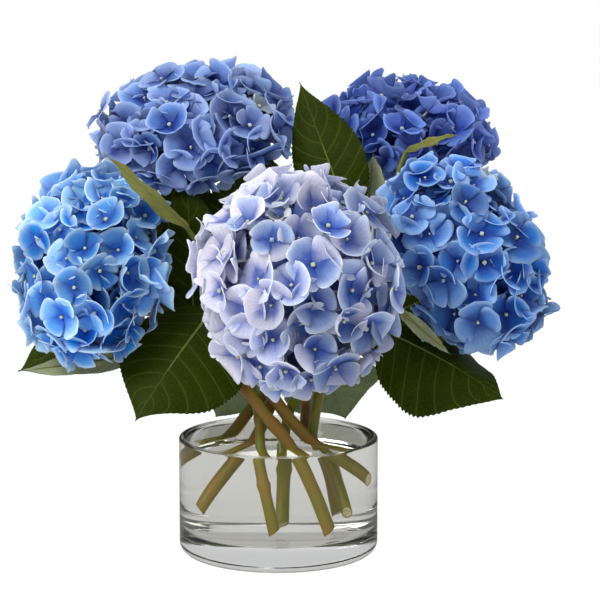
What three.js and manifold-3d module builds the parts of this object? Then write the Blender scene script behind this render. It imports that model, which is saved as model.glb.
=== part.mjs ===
// Hydrangeas in a low glass vase: five mophead blooms, their stems, three leafy shoots, the leaves,
// a clear cylinder vase and the water in it.
// Millimetres, +Z up, the origin at the centre of the vase's base, -Y to the front.
import * as THREE from "three";
import { mergeVertices } from "three/addons/utils/BufferGeometryUtils.js";
import Module from "manifold-3d";

const wasm = await Module();
wasm.setup();

// ---- driving dimensions ----
const VASE_RADIUS = 75;
const VASE_HEIGHT = 89;
const VASE_WALL = 4.2;
const VASE_FLOOR = 19; // thickness of the heavy glass base
const CORNER_RADIUS = 9; // rounded outer corner of the base
const FILLET_RADIUS = 6; // inner corner between floor and wall
const VASE_SIDES = 36;
const WATER_LEVEL = 86;
const GAP = 0.3; // clearance between touching pieces
const SLIVER = 0.02; // edges shorter than this are closed up after a join

const STEM_RADIUS = 4.6;
const SHOOT_RADIUS = 3.9;
const STEM_SIDES = 7;
const STEM_STEPS = 12;
const NODE_SWELL = 0.16; // how much a stem thickens at a joint, as a share of its radius

const FLORET_RADIUS = 21.5;
const FLORET_AREA = 1840; // surface of a bloom that one floret covers
const FLORET_CUP = 0.3; // rise of the sepals' rims, as a share of the floret's radius
const SEPAL_THICKNESS = 0.9;
const SEPAL_STEP = 1.3; // one pair of sepals stands this much above and below the other
const SKIRT_ANGLE = 134; // degrees from the crown to the lowest florets
const CORE_SHARE = 0.72; // size of the branched core inside a bloom
const TIP_DEPTH = 6; // how far a stem's tip stands in its bloom

const LEAF_THICKNESS = 0.9;
const LEAF_TEETH = 7; // teeth along one side
const LEAF_BELLY = 0.78; // below 1 puts a leaf's widest part nearer its stalk
const LEAF_BLUNT = 0.8; // below 1 rounds a leaf's ends
const PETIOLE_RADIUS = 2.4;

// Each bloom: centre, axis through its crown, radii level and upright across the axis, height above and
// below, the degrees that it is rolled round its axis, and the seed for its florets' sizes and turns.
const BLOOMS = {
  bloom_front: {
    centre: [15, -82, 219], axis: [0.0, -0.85, 0.53], wide: 78, tall: 87, up: 75, down: 62,
    roll: 0, seed: 3,
  },
  bloom_left: {
    centre: [-137, -12, 221], axis: [-0.5, -0.72, 0.48], wide: 64, tall: 82, up: 58, down: 52,
    roll: 16, seed: 12,
  },
  bloom_right: {
    centre: [139, 0, 227], axis: [0.5, -0.7, 0.5], wide: 66, tall: 81, up: 58, down: 52,
    roll: 12, seed: 53,
  },
  bloom_back_left: {
    centre: [-64, 75, 312], axis: [-0.12, -0.3, 0.95], wide: 83, tall: 80, up: 50, down: 43,
    roll: 0, seed: 6,
  },
  bloom_back_right: {
    centre: [101, 112, 307], axis: [0.15, -0.2, 0.95], wide: 74, tall: 72, up: 44, down: 46,
    roll: 0, seed: 33,
  },
};
const BLOOM_COLOURS = {
  bloom_front: 0xabb4d3,
  bloom_left: 0x86acdf,
  bloom_right: 0x7494c4,
  bloom_back_left: 0x91a3d3,
  bloom_back_right: 0x677aab,
};

// Each flower stem from its cut foot in the water, through the crossing at the rim, up to its bloom.
const FLOWER_STEMS = {
  stem_left: {
    bloom: "bloom_left",
    path: [[36, -46, 25], [22, -38, 60], [9, -30, 87], [-8, -25, 108], [-26, -20, 130], [-66, 2, 166]],
  },
  stem_right: {
    bloom: "bloom_right",
    path: [[-64, 8, 64], [-37, 12, 86], [-18, 18, 109], [8, 22, 132], [45, 24, 163], [72, 25, 186]],
  },
  stem_back_left: {
    bloom: "bloom_back_left",
    path: [[64, -22, 59], [24, -14, 88], [-1, -8, 116], [-20, 8, 150], [-38, 32, 195]],
  },
  stem_back_right: {
    bloom: "bloom_back_right",
    path: [[-54, -30, 38], [-19, -8, 85], [-9, 2, 104], [10, 14, 150], [35, 36, 182], [66, 64, 220]],
  },
  stem_front: {
    bloom: "bloom_front",
    path: [[31, 28, 25], [27, 22, 60], [21, 17, 90], [21, 15, 110], [20, 6, 130], [17, -10, 158]],
  },
};
const SHOOTS = {
  shoot_left: [[-2, -40, 24], [-9, -37, 60], [-13, -29, 85], [-15, -11, 108], [-22, -7, 132], [-34, -5, 162]],
  shoot_right: [[2, -10, 24], [4, 2, 78], [9, 2, 108], [23, -10, 127], [45, -17, 148], [70, -19, 168]],
  shoot_back: [
    [46, -30, 36], [34, -10, 62], [26, 1, 84], [28, 3, 104], [32, 4, 126], [36, 9, 170], [38, 14, 226],
  ],
};

// Each leaf: the point on its stem where the stalk starts, the blade's base and tip, its width, the way its
// upper face looks, how far the sides fold up, how far the blade bows and how much its edges wave. A belly
// near 1 puts the widest part halfway along, and a low blunt makes the blade fuller. Each tip is drawn out.
const LEAVES = {
  leaf_front_left: {
    from: [-34, -5, 162], base: [-50, -10, 185], tip: [-104, -60, 113], width: 98, blunt: 0.7,
    facing: [0.07, -0.66, 0.71], fold: -0.12, bow: 5, wave: 2.5,
  },
  leaf_front_right: {
    from: [70, -19, 168], base: [76, -16, 173], tip: [165, -53, 128], width: 88, belly: 0.95, blunt: 0.62,
    facing: [0.15, -0.5, 0.79], fold: -0.28, bow: 4, wave: 2,
  },
  leaf_right_fold: {
    from: [58, -18, 159], base: [88, -52, 194], tip: [126, -60, 162], width: 11,
    facing: [0.1, 0.9, -0.4], fold: 0.3, bow: 2, wave: 1,
  },
  leaf_inner_left: {
    from: [-28, -6, 147], base: [-63, 23, 156], tip: [-69, 32, 284], width: 61, blunt: 0.6,
    facing: [-0.23, -0.88, 0.15], fold: 0.1, bow: 2, wave: 2,
  },
  leaf_far_left: {
    from: [-70, 4, 169], base: [-104, 53, 174], tip: [-198, 21, 134], width: 60, belly: 0.95, blunt: 0.6,
    facing: [-0.29, -0.7, 1.01], fold: 0.1, bow: 3, wave: 1.5,
  },
  leaf_far_left_low: {
    from: [-66, 2, 166], base: [-98, -2, 152], tip: [-194, -15, 141], width: 20, blunt: 0.65,
    facing: [0.2, 1, -0.75], fold: 0.15, bow: 2, wave: 1,
  },
  leaf_back: {
    from: [38, 14, 226], base: [55, 21, 249], tip: [16, 53, 351], width: 56,
    facing: [-0.3, -0.93, 0.39], fold: 0.1, bow: 2, wave: 1.5,
  },
  leaf_back_pale: {
    from: [37, 11, 200], base: [64, 36, 238], tip: [72, 40, 298], width: 38,
    facing: [0.6, 0.8, -0.1], fold: 0.15, bow: 2, wave: 1,
  },
  leaf_top_right: {
    from: [66, 24, 182], base: [96, 42, 299], tip: [134, 24, 314], width: 9,
    facing: [-0.3, -0.6, 0.75], fold: 0.15, bow: 2, wave: 1,
  },
  leaf_left_edge: {
    from: [-29, 19.5, 172], base: [-66, -14, 248], tip: [-126, -46, 308], width: 24,
    facing: [0.5, -0.4, 0.75], fold: 0.1, bow: 0, wave: 1,
  },
  leaf_low_left: {
    from: [4, 8, 140], base: [-20, 44, 143], tip: [-50, 88, 85], width: 72, belly: 0.95, blunt: 0.6,
    facing: [0.1, 0.9, 0.3], fold: 0.1, bow: 3, wave: 2,
  },
  leaf_low_right: {
    from: [32, 4, 126], base: [30, 42, 143], tip: [52, 86, 84], width: 76, belly: 0.95, blunt: 0.6,
    facing: [-0.1, 0.9, 0.3], fold: 0.1, bow: 3, wave: 2,
  },
  leaf_rear_left: {
    from: [-29, 19.5, 172], base: [-34, 63, 168], tip: [-105, 72, 287], width: 90,
    facing: [-0.03, -0.9, 0.31], fold: 0.12, bow: 6, wave: 2.5,
  },
  leaf_rear_right: {
    from: [40, 40.5, 188], base: [54, 59, 158], tip: [180, 72, 211], width: 86,
    facing: [-0.39, -0.94, -0.12], fold: 0.12, bow: 6, wave: 2.5,
  },
  leaf_rear_centre: {
    from: [22, 25, 166], base: [-17, 62, 212], tip: [-15, 47, 305], width: 83,
    facing: [0.09, -1, 0.3], fold: 0.1, bow: 6, wave: 2.5,
  },
};

// ---- helpers ----
function vector(list) {
  return new THREE.Vector3(...list);
}

// A small seeded generator, so that every build gives the same plant.
function randomSource(seed) {
  let state = seed;
  return () => {
    state = (state * 1664525 + 1013904223) % 4294967296;
    return state / 4294967296;
  };
}

function solidOf(geometry) {
  const bare = new THREE.BufferGeometry().setAttribute("position", geometry.getAttribute("position"));
  if (geometry.index) bare.setIndex(geometry.index);
  const merged = mergeVertices(bare, 1e-3);
  const corners = [];
  const index = merged.index.array;
  for (let i = 0; i < index.length; i += 3) {
    const [a, b, c] = [index[i], index[i + 1], index[i + 2]];
    if (a !== b && b !== c && c !== a) corners.push(a, b, c);
  }
  const meshOf = (list) =>
    new wasm.Mesh({
      numProp: 3,
      vertProperties: merged.attributes.position.array,
      triVerts: new Uint32Array(list),
    });
  const made = new wasm.Manifold(meshOf(corners));
  if (made.volume() > 0) return made;
  return new wasm.Manifold(meshOf(corners.reverse()));
}

function geometryOf(solid) {
  const mesh = solid.getMesh();
  return new THREE.BufferGeometry()
    .setAttribute("position", new THREE.BufferAttribute(new Float32Array(mesh.vertProperties), 3))
    .setIndex(new THREE.BufferAttribute(mesh.triVerts, 1));
}

// The largest closed body of a solid: pockets that a join sealed are filled, loose scraps dropped and
// slivers shorter than a hair's width closed up.
function mainBody(solid) {
  const largest = solid.decompose().sort((a, b) => b.volume() - a.volume())[0];
  return largest.simplify(SLIVER);
}

// A closed solid through rings of points, each ring evenly spaced round its own loop and of any count.
function solidThroughRings(rings) {
  const points = rings.flat();
  const corners = [];
  let start = 0;
  for (let k = 0; k + 1 < rings.length; k++) {
    const [n, m] = [rings[k].length, rings[k + 1].length];
    const low = (i) => start + (i % n);
    const high = (j) => start + n + (j % m);
    let [i, j] = [n === 1 ? 1 : 0, m === 1 ? 1 : 0];
    while (i < n || j < m) {
      if (j >= m || (i < n && (i + 1) / n <= (j + 1) / m)) corners.push(low(i), low(++i), high(j));
      else corners.push(low(i), high(j + 1), high(j++));
    }
    start += n;
  }
  const geometry = new THREE.BufferGeometry().setFromPoints(points).setIndex(corners);
  return solidOf(geometry);
}

// A closed blade from its upper face: the same triangles below, and a wall round the edge.
function solidBlade(points, faces, offset) {
  const n = points.length;
  const all = [...points, ...points.map((p) => p.clone().add(offset))];
  const corners = [];
  const edges = new Set(faces.flatMap(([a, b, c]) => [`${a} ${b}`, `${b} ${c}`, `${c} ${a}`]));
  for (const [a, b, c] of faces) corners.push(a, b, c, a + n, c + n, b + n);
  for (const edge of edges) {
    const [a, b] = edge.split(" ").map(Number);
    if (!edges.has(`${b} ${a}`)) corners.push(b, a, a + n, b, a + n, b + n);
  }
  return solidOf(new THREE.BufferGeometry().setFromPoints(all).setIndex(corners));
}

function tube(points, radius, sides, steps, swells = []) {
  const curve = new THREE.CatmullRomCurve3(points, false, "centripetal");
  const outline = [];
  for (let i = 0; i < sides; i++) {
    const angle = (2 * Math.PI * i) / sides;
    outline.push(new THREE.Vector2(radius * Math.cos(angle), radius * Math.sin(angle)));
  }
  const geometry = new THREE.ExtrudeGeometry(new THREE.Shape(outline), {
    steps,
    bevelEnabled: false,
    extrudePath: curve,
  });
  if (swells.length) swell(geometry, curve, steps, swells);
  return geometry;
}

// Thickens the rings of a tube that lie at the given steps, as a stem is at its joints.
function swell(geometry, curve, steps, swells) {
  const centres = curve.getSpacedPoints(steps);
  const position = geometry.getAttribute("position");
  const point = new THREE.Vector3();
  for (let i = 0; i < position.count; i++) {
    point.fromBufferAttribute(position, i);
    let nearest = 0;
    centres.forEach((c, k) => {
      if (c.distanceTo(point) < centres[nearest].distanceTo(point)) nearest = k;
    });
    if (!swells.includes(nearest)) continue;
    point.sub(centres[nearest]).multiplyScalar(1 + NODE_SWELL).add(centres[nearest]);
    position.setXYZ(i, point.x, point.y, point.z);
  }
}

// ---- vase and water ----
function arc(centreR, centreZ, radius, from, to, count) {
  const points = [];
  for (let i = 0; i <= count; i++) {
    const angle = THREE.MathUtils.degToRad(from + ((to - from) * i) / count);
    points.push(new THREE.Vector2(centreR + radius * Math.cos(angle), centreZ + radius * Math.sin(angle)));
  }
  return points;
}

function lathed(profile) {
  return new THREE.LatheGeometry(profile, VASE_SIDES).rotateX(Math.PI / 2);
}

function vaseSolid() {
  const inner = VASE_RADIUS - VASE_WALL;
  const rim = VASE_WALL / 2;
  return solidOf(
    lathed([
      new THREE.Vector2(0, 0),
      ...arc(VASE_RADIUS - CORNER_RADIUS, CORNER_RADIUS, CORNER_RADIUS, -90, 0, 3),
      ...arc(VASE_RADIUS - rim, VASE_HEIGHT - rim, rim, 0, 180, 4),
      ...arc(inner - FILLET_RADIUS, VASE_FLOOR + FILLET_RADIUS, FILLET_RADIUS, 0, -90, 3),
      new THREE.Vector2(0, VASE_FLOOR),
    ]),
  );
}

function waterSolid(stems) {
  const radius = VASE_RADIUS - VASE_WALL - GAP;
  const fillet = FILLET_RADIUS;
  const floor = VASE_FLOOR + GAP;
  let water = solidOf(
    lathed([
      new THREE.Vector2(0, floor),
      ...arc(radius - fillet, floor + fillet, fillet, -90, 0, 3),
      new THREE.Vector2(radius, WATER_LEVEL),
      new THREE.Vector2(0, WATER_LEVEL),
    ]),
  );
  for (const stem of stems) water = water.subtract(stem);
  return mainBody(water);
}

// ---- blooms ----
function bloomFrame(bloom) {
  const axis = vector(bloom.axis).normalize();
  const side = new THREE.Vector3(0, 0, 1).cross(axis).normalize();
  side.applyAxisAngle(axis, THREE.MathUtils.degToRad(bloom.roll));
  const other = axis.clone().cross(side);
  return new THREE.Matrix4().makeBasis(side, other, axis).setPosition(...bloom.centre);
}

// Where a stem meets a bloom's core, and the way it comes in.
function bloomSeat(bloom) {
  const axis = vector(bloom.axis).normalize();
  const seat = vector(bloom.centre).addScaledVector(axis, -bloom.down * CORE_SHARE);
  return { seat, axis };
}

// One floret about its own centre, looking along +Z: a dished whorl of four broad sepals on a short stalk.
function floretRings(radius, turn, stalk) {
  const rim = [];
  for (let i = 0; i < 16; i++) {
    const angle = turn + (2 * Math.PI * i) / 16;
    const place = i % 4; // 0 is the cleft between two sepals, 2 the middle of a sepal
    const reach = radius * [0.74, 1.0, 0.98, 1.0][place];
    const raised = place === 0 ? 0 : Math.floor(i / 4) % 2 ? SEPAL_STEP : -SEPAL_STEP;
    const rise = (FLORET_CUP * reach * reach) / radius + raised;
    rim.push(new THREE.Vector3(reach * Math.cos(angle), reach * Math.sin(angle), rise));
  }
  const under = rim.filter((_, i) => i % 2 === 0).map((p) => p.clone().setZ(p.z - SEPAL_THICKNESS));
  const neck = [];
  for (let i = 0; i < 3; i++) {
    const angle = turn + (2 * Math.PI * i) / 3;
    neck.push(new THREE.Vector3(2.2 * Math.cos(angle), 2.2 * Math.sin(angle), -2.4));
  }
  return [[new THREE.Vector3()], rim, under, neck, [new THREE.Vector3(0, 0, -stalk)]];
}

// How far a bloom reaches from its centre along a way.
function bloomReach(bloom, way) {
  const local = way.clone().transformDirection(bloomFrame(bloom).invert());
  const height = local.z > 0 ? bloom.up : bloom.down;
  return Math.hypot(bloom.wide * local.x, bloom.tall * local.y, height * local.z);
}

// The planes where a bloom presses against those neighbours that it would otherwise run into.
function pressingPlanes(name) {
  const own = BLOOMS[name];
  const planes = [];
  for (const [other, bloom] of Object.entries(BLOOMS)) {
    if (other === name) continue;
    const normal = vector(bloom.centre).sub(vector(own.centre));
    const distance = normal.length();
    normal.normalize();
    const mine = bloomReach(own, normal);
    const theirs = bloomReach(bloom, normal.clone().negate());
    if (mine + theirs > distance) planes.push({ normal, reach: (distance * mine) / (mine + theirs) });
  }
  return planes;
}

// Florets laid in a spiral from the crown to the skirt, each with the same share of the surface:
// their angles from the crown.
function spiralAngles(bloom) {
  const steps = 200;
  const last = THREE.MathUtils.degToRad(SKIRT_ANGLE);
  const across = Math.sqrt(bloom.wide * bloom.tall);
  const sums = [0];
  for (let i = 0; i < steps; i++) {
    const angle = ((i + 0.5) / steps) * last;
    const height = angle < Math.PI / 2 ? bloom.up : bloom.down;
    const slant = Math.hypot(across * Math.cos(angle), height * Math.sin(angle));
    sums.push(sums[i] + 2 * Math.PI * across * Math.sin(angle) * slant * (last / steps));
  }
  const count = Math.round(sums[steps] / FLORET_AREA);
  const angles = [];
  for (let i = 0; i < count; i++) {
    const wanted = ((i + 0.5) / count) * sums[steps];
    angles.push((sums.findIndex((sum) => sum > wanted) / steps) * last);
  }
  return angles;
}

function bloomSolid(name) {
  const bloom = BLOOMS[name];
  const random = randomSource(bloom.seed);
  const frame = bloomFrame(bloom);
  const core = new THREE.IcosahedronGeometry(CORE_SHARE, 1);
  const heights = core.getAttribute("position");
  for (let i = 0; i < heights.count; i++) {
    const z = heights.getZ(i) * (heights.getZ(i) > 0 ? bloom.up : bloom.down);
    heights.setXYZ(i, heights.getX(i) * bloom.wide, heights.getY(i) * bloom.tall, z);
  }
  const pieces = [solidOf(core.applyMatrix4(frame))];
  const planes = pressingPlanes(name);
  spiralAngles(bloom).forEach((down, i) => {
    const round = i * Math.PI * (3 - Math.sqrt(5));
    const height = down < Math.PI / 2 ? bloom.up : bloom.down;
    const radii = new THREE.Vector3(bloom.wide, bloom.tall, height);
    const place = new THREE.Vector3().setFromSphericalCoords(1, down, round);
    place.set(place.x, place.z, place.y).multiply(radii);
    const outward = place.clone().divide(radii).divide(radii);
    outward.normalize().transformDirection(frame);
    const radius = FLORET_RADIUS * (0.95 + 0.1 * random());
    const inset = FLORET_CUP * radius + 1 + 2.5 * random();
    place.applyMatrix4(frame).addScaledVector(outward, -inset);
    for (const { normal, reach } of planes) {
      const lean = normal.dot(outward);
      const far = place.clone().sub(vector(bloom.centre)).dot(normal);
      const extent = far + radius * Math.sqrt(1 - lean * lean) + FLORET_CUP * radius * Math.max(lean, 0);
      if (extent > reach - 1) place.addScaledVector(normal, reach - 1 - extent);
    }
    const turn = random() * Math.PI;
    const facing = new THREE.Quaternion().setFromUnitVectors(new THREE.Vector3(0, 0, 1), outward);
    const pose = new THREE.Matrix4().compose(place, facing, new THREE.Vector3(1, 1, 1));
    const rings = floretRings(radius, turn, 30).map((ring) => ring.map((p) => p.applyMatrix4(pose)));
    pieces.push(solidThroughRings(rings));
  });
  return mainBody(wasm.Manifold.union(pieces));
}

// ---- leaves ----
function leafSolid(leaf) {
  const [base, tip] = [vector(leaf.base), vector(leaf.tip)];
  const along = tip.clone().sub(base);
  const length = along.length();
  along.divideScalar(length);
  const up = vector(leaf.facing).addScaledVector(along, -vector(leaf.facing).dot(along)).normalize();
  const side = up.clone().cross(along);
  const teeth = LEAF_TEETH;
  const rows = 2 * teeth;
  // A point of the upper face: s from base to tip, t from edge to edge.
  const surface = (s, t) => {
    const roundness = Math.sin(Math.PI * s ** (leaf.belly ?? LEAF_BELLY));
    const taper = (1 - s ** 6) ** 0.8;
    const half = (leaf.width / 2) * taper * roundness ** (leaf.blunt ?? LEAF_BLUNT);
    const x = t * half;
    const lift =
      leaf.fold * Math.abs(x) -
      (x * x) / leaf.width / 2 +
      leaf.bow * 4 * s * (1 - s) +
      leaf.wave * t * t * Math.sin(5.2 * Math.PI * s + (t > 0 ? 0 : 1.9));
    return base
      .clone()
      .addScaledVector(along, length * s)
      .addScaledVector(side, x)
      .addScaledVector(up, lift);
  };
  const points = [];
  const add = (s, t) => points.push(surface(s, t)) - 1;
  const ribs = [];
  for (let k = 0; k <= teeth; k++) ribs.push(add(k / teeth, 0));
  const faces = [];
  for (const hand of [1, -1]) {
    const mids = ribs.map((rib, k) => (k === 0 || k === teeth ? rib : add(k / teeth, 0.55 * hand)));
    const edge = [];
    for (let r = 0; r <= rows; r++) {
      if (r === 0 || r === rows) edge.push(ribs[r / 2]);
      else edge.push(add((r + (r % 2 ? 0.35 : 0)) / rows, (r % 2 ? 1.03 : 0.94) * hand));
    }
    for (let k = 0; k < teeth; k++) {
      const [e0, e1, e2] = edge.slice(2 * k, 2 * k + 3);
      const half = [
        [ribs[k], mids[k], mids[k + 1]],
        [ribs[k], mids[k + 1], ribs[k + 1]],
        [mids[k], e0, e1],
        [mids[k], e1, mids[k + 1]],
        [mids[k + 1], e1, e2],
      ].filter(([a, b, c]) => a !== b && b !== c && c !== a);
      faces.push(...(hand > 0 ? half : half.map(([a, b, c]) => [a, c, b])));
    }
  }
  const blade = solidBlade(points, faces, up.clone().multiplyScalar(-LEAF_THICKNESS));
  const under = (s) => surface(s, 0).addScaledVector(up, -LEAF_THICKNESS);
  const from = vector(leaf.from);
  const middle = from.clone().lerp(base, 0.5).addScaledVector(up, 2);
  const stalk = tube([from, middle, under(0.02), under(0.13)], PETIOLE_RADIUS, 3, 3);
  let whole = blade.add(solidOf(stalk));
  for (const wide of Object.values(stemSleeves)) whole = whole.subtract(wide);
  return mainBody(whole);
}

// ---- stems ----
function stemPoints(stem) {
  const { seat, axis } = bloomSeat(BLOOMS[stem.bloom]);
  return [
    ...stem.path.map(vector),
    seat.clone().addScaledVector(axis, -16),
    seat.clone().addScaledVector(axis, TIP_DEPTH),
  ];
}

// ---- the whole plant ----
const vaseGroup = new THREE.Group();
const flowers = new THREE.Group();
const foliage = new THREE.Group();

function addNode(group, name, solid, look) {
  const mesh = new THREE.Mesh(geometryOf(solid), new THREE.MeshStandardMaterial(look));
  mesh.name = name;
  group.add(mesh);
}

const stemSolids = {};
const stemSleeves = {}; // each stem a little larger, to clear its seat in the water and in its bloom
for (const [name, stem] of Object.entries(FLOWER_STEMS)) {
  const points = stemPoints(stem);
  stemSolids[name] = solidOf(tube(points, STEM_RADIUS, STEM_SIDES, STEM_STEPS, [4, 8]));
  stemSleeves[name] = sleeve(points, STEM_RADIUS, [4, 8]);
}
for (const [name, path] of Object.entries(SHOOTS)) {
  const points = path.map(vector);
  stemSolids[name] = solidOf(tube(points, SHOOT_RADIUS, STEM_SIDES, STEM_STEPS, [3, 7]));
  stemSleeves[name] = sleeve(points, SHOOT_RADIUS, [3, 7]);
}

// The same tube wider by the gap all round, its ends carried on by the gap.
function sleeve(points, radius, swells) {
  const reach = (end, before) => end.clone().add(end.clone().sub(before).setLength(GAP));
  const longer = [
    reach(points[0], points[1]),
    ...points.slice(1, -1),
    reach(points.at(-1), points.at(-2)),
  ];
  return solidOf(tube(longer, radius + 1.15 * GAP, STEM_SIDES, STEM_STEPS, swells));
}

for (const [name, solid] of Object.entries(stemSolids)) {
  const colour = name.startsWith("shoot") ? 0x7d8a3c : 0x77803a;
  addNode(flowers, name, solid, { color: colour, roughness: 0.6, metalness: 0 });
}

for (const name of Object.keys(BLOOMS)) {
  const stem = Object.keys(FLOWER_STEMS).find((s) => FLOWER_STEMS[s].bloom === name);
  const bloom = mainBody(bloomSolid(name).subtract(stemSleeves[stem]));
  addNode(flowers, name, bloom, { color: BLOOM_COLOURS[name], roughness: 0.75, metalness: 0 });
}

for (const [name, leaf] of Object.entries(LEAVES)) {
  addNode(foliage, name, leafSolid(leaf), { color: 0x33400c, roughness: 0.55, metalness: 0 });
}

addNode(vaseGroup, "vase", vaseSolid(), {
  color: 0xdfe3e0, roughness: 0.05, metalness: 0, transparent: true, opacity: 0.3,
});
addNode(vaseGroup, "water", waterSolid(Object.values(stemSleeves)), {
  color: 0xe4ebe8, roughness: 0.05, metalness: 0, transparent: true, opacity: 0.3,
});

const bouquet = new THREE.Group();
bouquet.add(vaseGroup, flowers, foliage);
export default bouquet;
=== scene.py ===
"""Hydrangeas in a low glass vase: petals, stems, leaves, glass and water round the packed model."""

import math
import random
from types import SimpleNamespace

import bmesh
import bpy
from bpy.props import FloatProperty, FloatVectorProperty, IntProperty, PointerProperty
from mathutils import Matrix, Quaternion, Vector


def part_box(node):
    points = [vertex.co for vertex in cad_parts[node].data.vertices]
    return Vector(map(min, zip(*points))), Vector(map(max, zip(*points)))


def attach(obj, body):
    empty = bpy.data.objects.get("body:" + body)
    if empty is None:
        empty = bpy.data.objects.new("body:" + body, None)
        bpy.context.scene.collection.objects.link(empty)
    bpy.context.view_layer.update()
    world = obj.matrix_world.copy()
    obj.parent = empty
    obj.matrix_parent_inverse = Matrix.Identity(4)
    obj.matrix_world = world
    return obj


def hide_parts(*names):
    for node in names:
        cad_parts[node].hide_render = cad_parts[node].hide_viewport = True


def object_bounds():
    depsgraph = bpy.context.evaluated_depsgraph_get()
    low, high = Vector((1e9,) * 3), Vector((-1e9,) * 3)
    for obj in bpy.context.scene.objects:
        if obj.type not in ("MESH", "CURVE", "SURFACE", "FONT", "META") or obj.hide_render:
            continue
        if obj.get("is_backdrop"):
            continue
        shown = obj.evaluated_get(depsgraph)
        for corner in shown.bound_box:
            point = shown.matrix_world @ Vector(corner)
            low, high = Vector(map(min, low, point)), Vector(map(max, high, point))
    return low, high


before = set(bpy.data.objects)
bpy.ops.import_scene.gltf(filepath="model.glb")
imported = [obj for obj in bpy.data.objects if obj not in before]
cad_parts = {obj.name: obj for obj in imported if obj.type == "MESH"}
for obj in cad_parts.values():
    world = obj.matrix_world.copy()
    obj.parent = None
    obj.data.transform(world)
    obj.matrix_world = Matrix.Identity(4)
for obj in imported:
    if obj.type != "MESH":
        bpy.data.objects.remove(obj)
CAD_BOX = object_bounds()
VASE_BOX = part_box("vase")
WATER_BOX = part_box("water")

bl_info = {
    "name": "Hydrangeas in a vase",
    "version": (1, 0, 0),
    "blender": (4, 5, 0),
    "location": "View3D > Sidebar > Hydrangeas",
    "description": "Builds a bunch of mophead hydrangeas standing in a low glass vase",
    "category": "Add Mesh",
}

MM = 0.001
UPWARD = Vector((0, 0, 1))
GOLDEN_TURN = math.pi * (3 - math.sqrt(5))

# ---- the plant's layout, in millimetres, as in the part's source ----
BLOOMS = {
    "bloom_front": dict(
        centre=(15, -82, 219), axis=(0, -0.85, 0.53), wide=78, tall=87, up=75, down=62, roll=0, seed=3
    ),
    "bloom_left": dict(
        centre=(-137, -12, 221), axis=(-0.5, -0.72, 0.48), wide=64, tall=82, up=58, down=52, roll=16, seed=12
    ),
    "bloom_right": dict(
        centre=(139, 0, 227), axis=(0.5, -0.7, 0.5), wide=66, tall=81, up=58, down=52, roll=12, seed=53
    ),
    "bloom_back_left": dict(
        centre=(-64, 75, 312), axis=(-0.12, -0.3, 0.95), wide=83, tall=80, up=50, down=43, roll=0, seed=6
    ),
    "bloom_back_right": dict(
        centre=(101, 112, 307), axis=(0.15, -0.2, 0.95), wide=74, tall=72, up=44, down=46, roll=0, seed=33
    ),
}
# The side of each bloom taken as lit, and how much: painted light makes the florets facing it paler and lighter.
PALER_SIDE = {
    "bloom_front": (-0.66, 0.0, 0.3),
    "bloom_left": (-0.1, 0.0, 0.1),
    "bloom_right": (-0.15, 0.0, 0.0),
    "bloom_back_left": (-0.2, -0.2, -0.1),
    "bloom_back_right": (0.15, 0.0, 0.0),
}
# How large a bloom's florets are, how pale the outer half of a sepal is, and how strong the painted highlight
# along its edge is.
FLORET_LOOKS = {
    "bloom_front": (1.1, 0.36, 0.62),
    "bloom_left": (1.0, 0.62, 0.34),
    "bloom_right": (1.0, 0.48, 0.34),
    "bloom_back_left": (1.06, 0.46, 0.36),
    "bloom_back_right": (1.0, 0.36, 0.3),
}
PETAL_SLOTS = {
    "bloom_front": "petals_lavender",
    "bloom_left": "petals_sky",
    "bloom_right": "petals_blue",
    "bloom_back_left": "petals_periwinkle",
    "bloom_back_right": "petals_violet",
}
FLOWER_STEMS = {
    "stem_left": (
        "bloom_left",
        [(36, -46, 25), (22, -38, 60), (9, -30, 87), (-8, -25, 108), (-26, -20, 130), (-66, 2, 166)],
    ),
    "stem_right": (
        "bloom_right",
        [(-64, 8, 64), (-37, 12, 86), (-18, 18, 109), (8, 22, 132), (45, 24, 163), (72, 25, 186)],
    ),
    "stem_back_left": (
        "bloom_back_left",
        [(64, -22, 59), (24, -14, 88), (-1, -8, 116), (-20, 8, 150), (-38, 32, 195)],
    ),
    "stem_back_right": (
        "bloom_back_right",
        [(-54, -30, 38), (-19, -8, 85), (-9, 2, 104), (10, 14, 150), (35, 36, 182), (66, 64, 220)],
    ),
    "stem_front": (
        "bloom_front",
        [(31, 28, 25), (27, 22, 60), (21, 17, 90), (21, 15, 110), (20, 6, 130), (17, -10, 158)],
    ),
}
SHOOTS = {
    "shoot_left": [
        (-2, -40, 24), (-9, -37, 60), (-13, -29, 85), (-15, -11, 108), (-22, -7, 132), (-34, -5, 162),
    ],
    "shoot_right": [
        (2, -10, 24), (4, 2, 78), (9, 2, 108), (23, -10, 127), (45, -17, 148), (70, -19, 168),
    ],
    "shoot_back": [
        (46, -30, 36), (34, -10, 62), (26, 1, 84), (28, 3, 104), (32, 4, 126), (36, 9, 170), (38, 14, 226),
    ],
}


def leaf(start, base, tip, width, facing, fold, bow, wave, look, belly=0.78, blunt=0.8):
    """A leaf: its stalk's start, its blade's base and tip, its width and the way its upper face looks."""
    return SimpleNamespace(**locals())


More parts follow.
